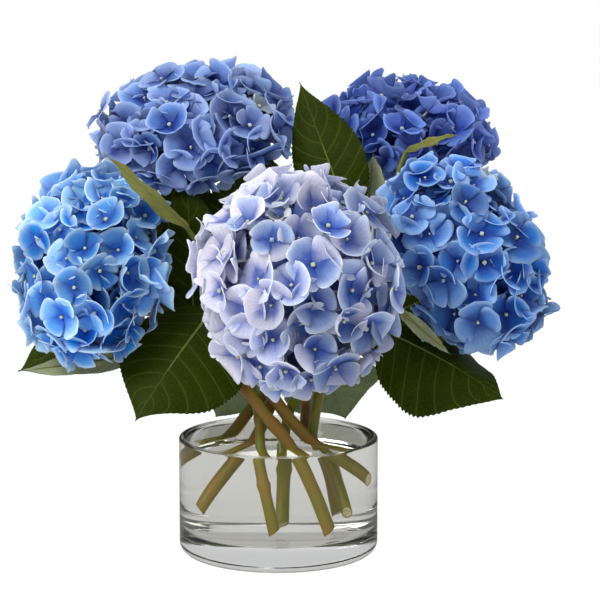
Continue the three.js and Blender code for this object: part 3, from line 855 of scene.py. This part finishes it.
class HYDRANGEAS_OT_water(bpy.types.Operator):
    """Fills the vase with water to just under its rim"""

    bl_idname = "hydrangeas.water"
    bl_label = "Water"

    def execute(self, context):
        size, shade = context.scene.vase_sizes, context.scene.plant_colours
        overlap = 0.1 * MM  # how far the water reaches into the glass, so that no air shows between them
        reach = size.radius - size.wall + overlap
        low, level = size.floor - overlap, size.water_level
        profile = [(0, low), (reach, low)]
        profile += [(reach - away * MM, level + size.meniscus * share) for away, share in CLIMB]
        profile.append((0, level))
        bm = spun(profile, {1: (size.fillet, 8)}, size.sides)
        for face in bm.faces:
            open_to_air = face.normal.z > 0.3 and face.calc_center_median().z > level - MM
            face.material_index = 0 if open_to_air else 1
        surface = clear_material("water", shade.water, WATER_IOR)
        joined = clear_material("water against glass", shade.water, 1.0)
        finish_piece("water_body", bm, [surface, joined], "water", "water")
        return {"FINISHED"}


# ---- stems ----
def bloom_seat(name):
    """The point where a bloom's stem ends, and the way it comes in, in metres."""
    bloom = BLOOMS[name]
    axis = Vector(bloom["axis"]).normalized()
    return vec(bloom["centre"]) - axis * (bloom["down"] * CORE_SHARE * MM), axis


def stem_radii(radius, joints, swell, rng):
    """A stem's radius at each ring: it thins a little, wavers, and thickens at each joint over its scar."""
    radii = []
    for i in range(STEM_RINGS):
        u = i / (STEM_RINGS - 1)
        thick = 1.04 - 0.14 * u + 0.02 * math.sin(31 * u + rng.uniform(-0.4, 0.4))
        for joint in joints:
            away = (u - joint) / 0.02
            thick += swell * math.exp(-away * away) + 0.05 * math.exp(-((away - 0.4) * 3.5) ** 2)
        radii.append(radius * thick)
    return radii


def add_stem(name, points, radius, joints, swell, materials, slot):
    """A stem from its slanting cut foot to its tip."""
    rng = random.Random(name)
    path = curve_through(points, STEM_RINGS)
    radii = stem_radii(radius, joints, swell, rng)
    bm = bmesh.new()
    grain = bm.verts.layers.float_vector.new("grain")
    sweep(bm, path, radii, STEM_SIDES, grain, cap_start=False)
    way = (path[1] - path[0]).normalized()
    lean = Vector((rng.uniform(-1, 1), rng.uniform(-1, 1), 0)).cross(way).normalized()
    cut = (way + lean * rng.uniform(0.45, 0.75)).normalized()
    start = path[0] + way * (1.1 * radius * (way - cut).length)
    whole = bm.verts[:] + bm.edges[:] + bm.faces[:]
    bmesh.ops.bisect_plane(bm, geom=whole, plane_co=start, plane_no=cut, clear_inner=True)
    opened = [e for e in bm.edges if e.is_boundary]
    faces = bmesh.ops.contextual_create(bm, geom=opened)["faces"]
    for face in faces:
        face.normal_update()
        if face.normal.dot(cut) > 0:
            face.normal_flip()
    bmesh.ops.inset_individual(bm, faces=faces, thickness=0.5 * MM, depth=0.0)
    bmesh.ops.inset_individual(bm, faces=faces, thickness=0.3 * MM, depth=-0.15 * MM)
    for face in faces:
        face.material_index = 1
    piece = finish_piece(name + "_stalk", bm, materials, name, slot)
    for polygon in piece.data.polygons:
        if polygon.material_index == 1:
            polygon.use_smooth = False


class HYDRANGEAS_OT_stems(bpy.types.Operator):
    """Builds the five flower stems, each from its cut foot in the water up into its bloom"""

    bl_idname = "hydrangeas.stems"
    bl_label = "Flower stems"

    def execute(self, context):
        size, shade = context.scene.stem_sizes, context.scene.plant_colours
        pith = mottled_material("pith", shade.pith, shade.bark, 700.0)
        for name, (bloom, path) in FLOWER_STEMS.items():
            seat, axis = bloom_seat(bloom)
            points = [vec(p) for p in path] + [seat - axis * LAST_BEND * MM, seat + axis * TIP_DEPTH * MM]
            bark = stalk_material(name + " bark", shade.stem, shade.bark, BROWNING[name])
            add_stem(name, points, size.stem, (4 / 12, 8 / 12), size.swell, [bark, pith], "stem_green")
        return {"FINISHED"}


class HYDRANGEAS_OT_shoots(bpy.types.Operator):
    """Builds the three leafy shoots beside the flower stems"""

    bl_idname = "hydrangeas.shoots"
    bl_label = "Leafy shoots"

    def execute(self, context):
        size, shade = context.scene.stem_sizes, context.scene.plant_colours
        pith = mottled_material("shoot pith", shade.pith, shade.bark, 700.0)
        for name, path in SHOOTS.items():
            points = [vec(p) for p in path]
            bark = stalk_material(name + " bark", shade.shoot, shade.bark, BROWNING[name])
            add_stem(name, points, size.shoot, (3 / 12, 7 / 12), size.swell, [bark, pith], "shoot_green")
        return {"FINISHED"}


# ---- leaves ----
def leaf_shape(spec, quilt):
    """The upper face of a leaf.

    Its point function takes s, from base to tip, and t, from edge to edge, to a point and to the distance
    of that point from the midrib.
    """
    base, tip, width = vec(spec.base), vec(spec.tip), spec.width * MM
    along = tip - base
    long = along.length
    along.normalize()
    up = Vector(spec.facing)
    up = (up - along * up.dot(along)).normalized()
    side = up.cross(along)

    def point(s, t):
        roundness = max(math.sin(math.pi * s**spec.belly), 0.0) ** spec.blunt
        half = width / 2 * roundness * max(1 - s**6, 0.0) ** 0.8
        x = t * half
        lift = spec.fold * abs(x) - x * x / width / 2 + spec.bow * MM * 4 * s * (1 - s)
        lift += spec.wave * MM * t * t * math.sin(5.2 * math.pi * s + (0.0 if t > 0 else 1.9))
        phase = ((s - VEIN_SLANT * abs(t) ** VEIN_BEND) * VEIN_PAIRS + math.copysign(VEIN_SHIFT, t)) % 1.0
        puffed = smoothstep(0.0, 0.3, abs(t)) * smoothstep(0.0, 0.35, half / (width / 2))
        lift += quilt * math.sin(math.pi * phase) * puffed
        return base + along * long * s + side * x + up * lift, x

    return SimpleNamespace(point=point, up=up, start=vec(spec.start), base=base, long=long)


def leaf_sheet(name, shape, teeth, materials):
    """A leaf's blade as one sheet with toothed edges, upper side out."""
    rows = 2 * teeth
    bm = bmesh.new()
    blade = bm.verts.layers.float_vector.new("blade")
    bm.verts.layers.float_vector.new("grain")
    bmesh.ops.create_grid(bm, x_segments=LEAF_COLUMNS, y_segments=rows, size=1.0)
    for v in bm.verts:
        t, row = v.co.x, round((v.co.y + 1) / 2 * rows)
        s = row / rows
        t = math.copysign(abs(t) ** 0.9, t)
        edge = t
        if abs(v.co.x) > 0.999 and 0 < row < rows:
            tooth = row % 2
            s += 0.4 / rows if tooth else 0.0
            edge = t * (1.014 if tooth else 0.982)
        v.co, x = shape.point(s, edge)
        v[blade] = (x, s, t)
    bmesh.ops.remove_doubles(bm, verts=bm.verts, dist=1e-6)
    bmesh.ops.recalc_face_normals(bm, faces=bm.faces)
    if sum((f.normal * f.calc_area() for f in bm.faces), Vector()).dot(shape.up) < 0:
        bmesh.ops.reverse_faces(bm, faces=bm.faces)
    return mesh_from(name, bm, materials)


def thickened(name, sheet, thickness):
    """A bmesh of a sheet with its thickness applied."""
    carrier = put_in_scene(name, sheet)
    give_thickness(carrier, thickness)
    shown = carrier.evaluated_get(bpy.context.evaluated_depsgraph_get())
    thick = bpy.data.meshes.new_from_object(shown)
    bpy.data.objects.remove(carrier)
    bm = bmesh.new()
    bm.from_mesh(thick)
    bpy.data.meshes.remove(thick)
    return bm


def add_leaf(name, spec, size, materials):
    """A leaf: its blade with its thickness, and the stalk that runs on as the midrib below."""
    shape = leaf_shape(spec, size.quilt)
    bm = thickened(name, leaf_sheet(name, shape, size.teeth, materials), size.leaf)
    grain = bm.verts.layers.float_vector["grain"]
    sunk = shape.up * (size.leaf + 0.1 * MM)
    under = [shape.point(s, 0.0)[0] - sunk for s in (0.02, 0.13, 0.3, 0.5, 0.7, 0.88)]
    middle = shape.start.lerp(shape.base, 0.5) + shape.up * 2 * MM
    path = curve_through([shape.start, middle, *under], 40)
    stalk_length = (under[0] - shape.start).length
    joint = stalk_length / (stalk_length + shape.long * 0.86)  # where along the path the blade starts
    radii = []
    for i in range(len(path)):
        u = i / (len(path) - 1)
        stalk = size.petiole * (1.15 - 0.3 * u / joint)
        rib = 0.95 * MM * (1 - (u - joint) / (1 - joint)) ** 0.8 + 0.22 * MM if u >= joint else 0.0
        soft = smoothstep(joint - 0.04, joint + 0.16, u)
        radii.append(size.petiole * 0.85 * (1 - soft) + rib * soft if u >= joint - 0.04 else stalk)
    sweep(bm, path, radii, 10, grain, slot=2)
    finish_piece(name + "_blade", bm, materials, name, "leaf_green")


class HYDRANGEAS_OT_leaves(bpy.types.Operator):
    """Builds the leaves with their stalks"""

    bl_idname = "hydrangeas.leaves"
    bl_label = "Leaves"

    def execute(self, context):
        size, shade = context.scene.stem_sizes, context.scene.plant_colours
        under = leaf_material("leaf underside", shade.leaf_under, shade.leaf_under, 0.5, -1.2, 0.62, 0.22)
        stalk = stalk_material("leaf stalk", shade.leaf_vein, shade.bark, 0.2)
        looks = {
            "deep": leaf_material("leaf", shade.leaf_deep, shade.leaf_vein, 0.5, 1.0, 0.42, 0.2),
            "soft": leaf_material("leaf in haze", shade.leaf_soft, shade.leaf_vein, 0.3, 0.8, 0.6, 0.25),
            "young": leaf_material("young leaf", shade.leaf_young, shade.leaf_vein, 0.4, 0.8, 0.5, 0.3),
        }
        low = shade.leaf_soft, shade.leaf_under
        low_under = leaf_material("low leaf underside", *low, 0.25, -1.0, 0.7, 0.22)
        for name, spec in LEAVES.items():
            add_leaf(name, spec, size, [looks[spec.look], low_under if spec.look == "soft" else under, stalk])
        return {"FINISHED"}


# ---- blooms ----
def bloom_frame(name):
    bloom = BLOOMS[name]
    axis = Vector(bloom["axis"]).normalized()
    side = UPWARD.cross(axis).normalized()
    side.rotate(Quaternion(axis, math.radians(bloom["roll"])))
    turned = Matrix((side, axis.cross(side), axis)).transposed().to_4x4()
    return Matrix.Translation(vec(bloom["centre"])) @ turned


def bloom_reach(name, way):
    """How far a bloom reaches from its centre along a way."""
    bloom = BLOOMS[name]
    local = bloom_frame(name).to_3x3().transposed() @ way
    height = bloom["up"] if local.z > 0 else bloom["down"]
    return MM * math.hypot(bloom["wide"] * local.x, bloom["tall"] * local.y, height * local.z)


def pressing_planes(name):
    """The planes where a bloom presses against neighbours that it would run into: way and reach of each."""
    planes = []
    for other in BLOOMS:
        if other == name:
            continue
        way = vec(BLOOMS[other]["centre"]) - vec(BLOOMS[name]["centre"])
        apart = way.length
        way.normalize()
        mine, theirs = bloom_reach(name, way), bloom_reach(other, -way)
        if mine + theirs > apart:
            planes.append((way, apart * mine / (mine + theirs)))
    return planes


def spiral_angles(bloom, area):
    """Angles from the crown of florets that all have the same share of a bloom's surface."""
    steps = 240
    across = math.sqrt(bloom["wide"] * bloom["tall"])
    sums = [0.0]
    for i in range(steps):
        angle = (i + 0.5) / steps * SKIRT_ANGLE
        height = bloom["up"] if angle < math.pi / 2 else bloom["down"]
        slant = math.hypot(across * math.cos(angle), height * math.sin(angle))
        sums.append(sums[-1] + 2 * math.pi * across * math.sin(angle) * slant * SKIRT_ANGLE / steps)
    count = round(sums[-1] / area)
    angles, k = [], 0
    for i in range(count):
        wanted = (i + 0.5) / count * sums[-1]
        while sums[k] < wanted:
            k += 1
        angles.append(k / steps * SKIRT_ANGLE)
    return angles


def floret_places(name, area, sepal, layer, rng):
    """Where the florets of one layer of a bloom stand: for each its pose, its cup and its sepals' length."""
    bloom = BLOOMS[name]
    frame_matrix = bloom_frame(name)
    planes = pressing_planes(name)
    centre = vec(bloom["centre"])
    places = []
    for i, down in enumerate(spiral_angles(bloom, area)):
        down = max(0.02, down + rng.uniform(-0.05, 0.05))
        round_ = i * GOLDEN_TURN + layer["phase"] + rng.uniform(-0.1, 0.1)
        height = bloom["up"] if down < math.pi / 2 else bloom["down"]
        radii = Vector((bloom["wide"], bloom["tall"], height)) * MM * layer["depth"]
        unit = Vector((math.sin(down) * math.sin(round_), math.sin(down) * math.cos(round_), math.cos(down)))
        spot = Vector(a * b for a, b in zip(unit, radii))
        outward = Vector(a / b for a, b in zip(unit, radii))
        outward = (frame_matrix.to_3x3() @ outward).normalized()
        long = sepal * layer["sepal"] * rng.uniform(0.82, 1.08)
        cup = rng.choice((0.6, 0.95, 1.15, 1.35, 1.55, 1.75)) + rng.uniform(-0.1, 0.1)
        rise = long * (1 - math.cos(cup)) / cup
        lean_out = math.tan(layer["tilt"]) * rng.random()
        sink = 0.8 * rise + 0.45 * long * math.sin(math.atan(lean_out))
        sink += rng.uniform(-1.5, 5.5) * MM
        spot = frame_matrix @ spot - outward * sink
        for way, reach in planes:
            lean = way.dot(outward)
            far = (spot - centre).dot(way) + 0.9 * long * math.sqrt(max(0.0, 1 - lean * lean))
            far += rise * max(lean, 0.0)
            if far > reach:
                spot += way * (reach - far)
        away = Vector((rng.gauss(0, 1), rng.gauss(0, 1), rng.gauss(0, 1))).normalized()
        look = (outward + away * lean_out).normalized()
        turn = look.to_track_quat("Z", "Y") @ Matrix.Rotation(rng.uniform(0, math.pi), 3, "Z").to_quaternion()
        pose = Matrix.LocRotScale(spot, turn, None)
        places.append(SimpleNamespace(
            pose=pose, cup=cup * layer["cup"], long=long, spot=spot, look=look, outward=outward, sink=sink,
        ))
    return places


def tucked_under(place, others, way):
    """How far a sepal that points a way has to lie flat to slip under a higher neighbour, from 0 to 1."""
    most = 0.0
    for other in others:
        apart = other.spot - place.spot
        reach = apart.length / (place.long + other.long)
        if 0.05 < reach < 1.0 and other.sink < place.sink:
            facing = apart.normalized().dot(way)
            most = max(most, smoothstep(0.35, 0.85, facing) * smoothstep(1.0, 0.75, reach))
    return most


def add_sepal(bm, pose, shape, cells, tint_layer, tint):
    """One sepal: a square grid drawn out to a rounded cupped sheet that starts at the bud."""
    made = bmesh.ops.create_grid(bm, x_segments=cells, y_segments=cells, size=1.0, calc_uvs=True)["verts"]
    for v in made:
        x = v.co.x * math.sqrt(1 - v.co.y**2 / 2)
        y = v.co.y * math.sqrt(1 - v.co.x**2 / 2)
        out = (x + 1) / 2
        along = shape.long * (0.05 + 0.95 * out + shape.point * out**6 * max(0.0, 1 - 4 * abs(y)))
        across = y * shape.half * (0.42 + 0.8 * out)
        far = math.hypot(along, across)
        angle = math.atan2(across, along) + shape.turn
        bend = max(shape.cup * far / shape.long, 1e-4)
        radial = far * math.sin(bend) / bend
        rim = (x * x + y * y) ** 2
        height = far * (1 - math.cos(bend)) / bend - shape.flare * shape.long * (far / shape.long) ** 5
        leaning = shape.lean * across * smoothstep(0.0, 0.6, out)
        height += shape.hollow * across * across / shape.half + leaning
        height += shape.ripple * rim * math.sin(shape.waves * math.atan2(y, x) + shape.phase)
        height += shape.step * smoothstep(0.0, 0.5, out)
        v.co = pose @ Vector((radial * math.cos(angle), radial * math.sin(angle), height))
        v[tint_layer] = tint


def add_floret(bm, place, others, cells, tint_layer, tint, rng):
    """Four sepals in two crossing pairs, one over the other, each with a shape and a shade of its own."""
    for k in range(4):
        over = k % 2
        turn = k * math.pi / 2 + rng.uniform(-0.2, 0.2)
        way = place.pose.to_3x3() @ Vector((math.cos(turn), math.sin(turn), 0))
        tucked = tucked_under(place, others, way)
        shape = SimpleNamespace(
            long=place.long * (0.92 if over else 1.0) * rng.uniform(0.84, 1.08),
            half=place.long * rng.uniform(0.55, 0.78),
            turn=turn,
            cup=max(0.2, place.cup * rng.uniform(0.72, 1.2) * (1 - 0.5 * tucked)),
            flare=rng.uniform(0.0, 0.22),
            hollow=rng.uniform(-0.05, 0.32),
            lean=rng.uniform(-0.28, 0.28),
            ripple=rng.uniform(0.2, 0.9) * MM,
            waves=rng.choice((2, 3, 4)),
            phase=rng.uniform(0, 2 * math.pi),
            point=rng.uniform(-0.01, 0.08),
            step=(0.9 if over else -0.5) * MM,
        )
        bleached = rng.uniform(0.1, 0.7) if rng.random() < BLEACHED_ODDS else rng.uniform(-0.2, 0.1)
        varied = Vector((within(tint[0] + bleached), tint[1] + rng.uniform(-0.35, 0.35), tint[2]))
        add_sepal(bm, place.pose, shape, cells, tint_layer, varied)


def floret_tint(layer, side_light, rng):
    """A floret's share of the blush colour, how light it is, and its share of a young floret's green. Painted
    light raises the first two on the bloom's lit side; painted shade darkens the inner and core layers.
    """
    if layer == "outer":
        blush = within(rng.gauss(0.2, 0.24) + side_light)
        young = YOUNG_SHARE if rng.random() < YOUNG_ODDS else 0.0
        return blush, rng.uniform(-0.6, 1.2) + 0.6 * side_light, young
    # Inner florets: painted shade, lifted by painted light on the lit side.
    if layer == "inner":
        side_light = max(0.0, side_light)
        return 0.05 + 0.6 * side_light, rng.uniform(-1.5, -0.3) + 1.2 * side_light, 0.0
    # Core florets: painted shade, darkest of all.
    return 0.0, rng.uniform(-2.6, -2.0), 0.0


def add_buds(name, places, radius, material, rng):
    """A small four-lobed bud in the middle of each floret."""
    bm = bmesh.new()
    for place in places:
        made = bmesh.ops.create_icosphere(bm, subdivisions=2, radius=radius * rng.uniform(0.65, 1.2))["verts"]
        for v in made:
            lobe = 1 + 0.14 * math.cos(4 * math.atan2(v.co.y, v.co.x))
            v.co = place.pose @ Vector((v.co.x * lobe, v.co.y * lobe, v.co.z * 0.85 + BUD_RISE * MM))
    finish_piece(name + "_buds", bm, [material], slot=PETAL_SLOTS[name])


class HYDRANGEAS_OT_petals(bpy.types.Operator):
    """Builds each bloom's florets in three layers, the bud in each outer floret and the branches below"""

    bl_idname = "hydrangeas.petals"
    bl_label = "Petals, buds and branches"

    def execute(self, context):
        size, shade = context.scene.bloom_sizes, context.scene.plant_colours
        bud_material = mottled_material("bud", shade.bud, shade.bud_blue, 60.0)
        for name, bloom in BLOOMS.items():
            rng = random.Random(bloom["seed"])
            scale, paleness, edging = FLORET_LOOKS[name]
            places = {}
            for layer, spec in FLORET_LAYERS.items():
                area = getattr(size, layer + "_area") * (scale * scale)
                places[layer] = floret_places(name, area, size.sepal * scale, spec, rng)
            bm = bmesh.new()
            bm.loops.layers.uv.new("Sepal")
            tint_layer = bm.verts.layers.float_vector.new("tint")
            # Painted light: florets facing this way are painted paler and lighter.
            paler = Vector(PALER_SIDE[name])
            for layer, spec in FLORET_LAYERS.items():
                for place in places[layer]:
                    tint = floret_tint(layer, paler.dot(place.outward), rng)
                    place.long *= YOUNG_SIZE if tint[2] else 1.0
                    add_floret(bm, place, places[layer], spec["cells"], tint_layer, tint, rng)
            parts = {key: tuple(getattr(shade, f"{name}_{key}")) for key in SEPAL_PARTS}
            upper = petal_material(name + " petals", parts, paleness, edging)
            lower = petal_material(name + " petal backs", parts, paleness, edging, lift=0.3, veins=0.4)
            piece = finish_piece(name + "_petals", bm, [upper, lower], name, PETAL_SLOTS[name])
            give_thickness(piece, size.thickness)
            add_buds(name, places["outer"], size.bud, bud_material, rng)
            add_branches(name, places["outer"] + places["inner"], size, shade)
        return {"FINISHED"}


def add_branches(name, places, size, shade):
    """A bloom's branches: rays from its stem's end, and a pedicel from each floret to the nearest ray."""
    bloom, matrix = BLOOMS[name], bloom_frame(name)
    seat, axis = bloom_seat(name)
    bm = bmesh.new()
    grain = bm.verts.layers.float_vector.new("grain")
    hubs = []
    for i in range(RAYS):
        down = math.radians(8 + 92 * ((i + 0.5) / RAYS) ** 0.6)
        turn = i * GOLDEN_TURN
        unit = Vector((math.sin(down) * math.cos(turn), math.sin(down) * math.sin(turn), math.cos(down)))
        height = bloom["up"] if unit.z > 0 else bloom["down"]
        reach = Vector((unit.x * bloom["wide"], unit.y * bloom["tall"], unit.z * height)) * MM
        hub = matrix @ (reach * HUB_SHARE)
        hubs.append(hub)
        bend = seat.lerp(hub, 0.45) + axis * 5 * MM
        path = curve_through([seat - axis * 3 * MM, bend, hub], 9)
        sweep(bm, path, [size.ray * (1.15 - 0.5 * k / 8) for k in range(9)], 8, grain)
    for place in places:
        hub = min(hubs, key=lambda h: (h - place.spot).length)
        below = place.spot - place.look * 7 * MM
        path = curve_through([place.spot - place.look * 0.4 * MM, below, hub], 5)
        sweep(bm, path, [size.pedicel * share for share in (1.5, 1.0, 1.0, 1.1, 1.3)], 5, grain)
    bark = stalk_material(name + " branches", shade.branch, shade.bark, 0.1, 0.6)
    finish_piece(name + "_branches", bm, [bark], slot="stem_green")


# ---- stage ----
def seen_directly(tree, through_glass, through_water):
    """How much of its bright face the stage shows a ray: all to the camera, less through glass and water."""
    rays = outputs(tree, "LightPath")
    share = ramp(rays["Transmission Depth"], 4.0, 6.0, through_glass, through_water)
    return rays["Is Camera Ray"].highest(rays["Is Transmission Ray"] * share)


class HYDRANGEAS_OT_stage(bpy.types.Operator):
    """Lays the pale floor, and sets the soft lights and the camera"""

    bl_idname = "hydrangeas.stage"
    bl_label = "Floor, lights and camera"

    def execute(self, context):
        scene, look = context.scene, context.scene.stage_look
        self.add_floor(look)
        self.add_world(scene, look)
        aim = Vector((0, 0, 0.2))
        self.add_light("key light", (-1.5, -1.7, 1.9), 1.5, look.key, aim)
        self.add_light("fill light", (2.0, -1.2, 0.9), 1.8, look.fill, aim)
        self.add_light("top light", (0.2, 0.5, 2.2), 1.6, look.top, aim)
        camera = put_in_scene("camera", bpy.data.cameras.new("camera"))
        camera.location = CAMERA_PLACE
        camera.rotation_euler = (math.pi / 2 - CAMERA_DIP, 0, 0)
        camera.data.lens, camera.data.sensor_width = look.lens, 36
        camera.data.clip_end = 100
        scene.camera = camera
        scene.view_settings.view_transform = "Standard"
        return {"FINISHED"}

    def add_floor(self, look):
        """A wide floor that the camera sees white, and that lights the flowers from below as matt grey."""
        material, tree = new_material("pale floor")
        direct = seen_directly(tree, through_glass=0.58, through_water=0.6)
        rays = outputs(tree, "LightPath")
        mirrored = rays["Is Singular Ray"] * rays["Is Reflection Ray"]
        matt = wired(tree, "BsdfDiffuse", {"Color": blend(tree, mirrored, (0.8, 0.8, 0.8), (0.3, 0.3, 0.3))})
        bright = wired(tree, "Emission", {"Color": look.floor, "Strength": direct * 0.93})
        shaded = wired(tree, "BsdfDiffuse", {"Color": (0.12, 0.12, 0.12)})
        seen = wired(tree, "AddShader", {0: bright, 1: shaded})
        bare = direct.calc("GREATER_THAN", 0.01)
        show(tree, wired(tree, "MixShader", {0: bare, 1: matt, 2: seen}))
        bm = bmesh.new()
        under = Matrix.Translation((0, 0, -0.3 * MM))
        bmesh.ops.create_grid(bm, x_segments=1, y_segments=1, size=40.0, matrix=under)
        put_in_scene("floor", mesh_from("floor", bm, [material]))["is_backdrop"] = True

    def add_light(self, name, place, across, power, aim):
        light = bpy.data.lights.new(name, "AREA")
        light.shape, light.size, light.energy = "DISK", across, power
        holder = put_in_scene(name, light)
        holder.location = place
        holder.rotation_euler = (aim - Vector(place)).to_track_quat("-Z", "Y").to_euler()
        holder.visible_camera = False

    def add_world(self, scene, look):
        """White where the camera sees it, and paler above than at the sides for everything else."""
        world = scene.world or bpy.data.worlds.new("studio")
        scene.world = world
        world.use_nodes = True
        tree = world.node_tree
        tree.nodes.clear()
        way = split(wired(tree, "TexCoord", out="Generated"))
        strength = ramp(way[2], -0.1, 0.8, 0.55, 1.25) * look.air
        around = wired(tree, "Background", {"Color": (0.97, 0.98, 1), "Strength": strength})
        white = wired(tree, "Background", {"Color": (1, 1, 1), "Strength": 1.0})
        direct = seen_directly(tree, through_glass=0.34, through_water=0.3)
        seen = wired(tree, "MixShader", {0: direct, 1: around, 2: white})
        add(tree, "OutputWorld", {"Surface": seen})


BUILD_ORDER = (
    HYDRANGEAS_OT_vase,
    HYDRANGEAS_OT_water,
    HYDRANGEAS_OT_stems,
    HYDRANGEAS_OT_shoots,
    HYDRANGEAS_OT_leaves,
    HYDRANGEAS_OT_petals,
    HYDRANGEAS_OT_stage,
)
SETTINGS = {
    "vase_sizes": VaseSizes,
    "bloom_sizes": BloomSizes,
    "stem_sizes": StemSizes,
    "plant_colours": PlantColours,
    "stage_look": StageLook,
}


class HYDRANGEAS_PT_panel(bpy.types.Panel):
    """Sizes and colours of the flowers, and a button for each kind of piece"""

    bl_idname = "HYDRANGEAS_PT_panel"
    bl_label = "Hydrangeas in a vase"
    bl_space_type = "VIEW_3D"
    bl_region_type = "UI"
    bl_category = "Hydrangeas"

    def draw(self, context):
        for operator in BUILD_ORDER:
            self.layout.operator(operator.bl_idname)
        for key, group in SETTINGS.items():
            box = self.layout.box()
            box.label(text=group.__doc__)
            for name in group.__annotations__:
                box.prop(getattr(context.scene, key), name)


CLASSES = (*SETTINGS.values(), *BUILD_ORDER, HYDRANGEAS_PT_panel)


def register():
    for cls in CLASSES:
        bpy.utils.register_class(cls)
    for key, group in SETTINGS.items():
        setattr(bpy.types.Scene, key, PointerProperty(type=group))


def unregister():
    for key in SETTINGS:
        delattr(bpy.types.Scene, key)
    for cls in reversed(CLASSES):
        bpy.utils.unregister_class(cls)


def main():
    register()
    for operator in BUILD_ORDER:
        category, name = operator.bl_idname.split(".")
        getattr(getattr(bpy.ops, category), name)()
    sizes = {"cad": [list(corner) for corner in CAD_BOX], "visual": [list(corner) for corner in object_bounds()]}


if __name__ == "__main__":
    main()
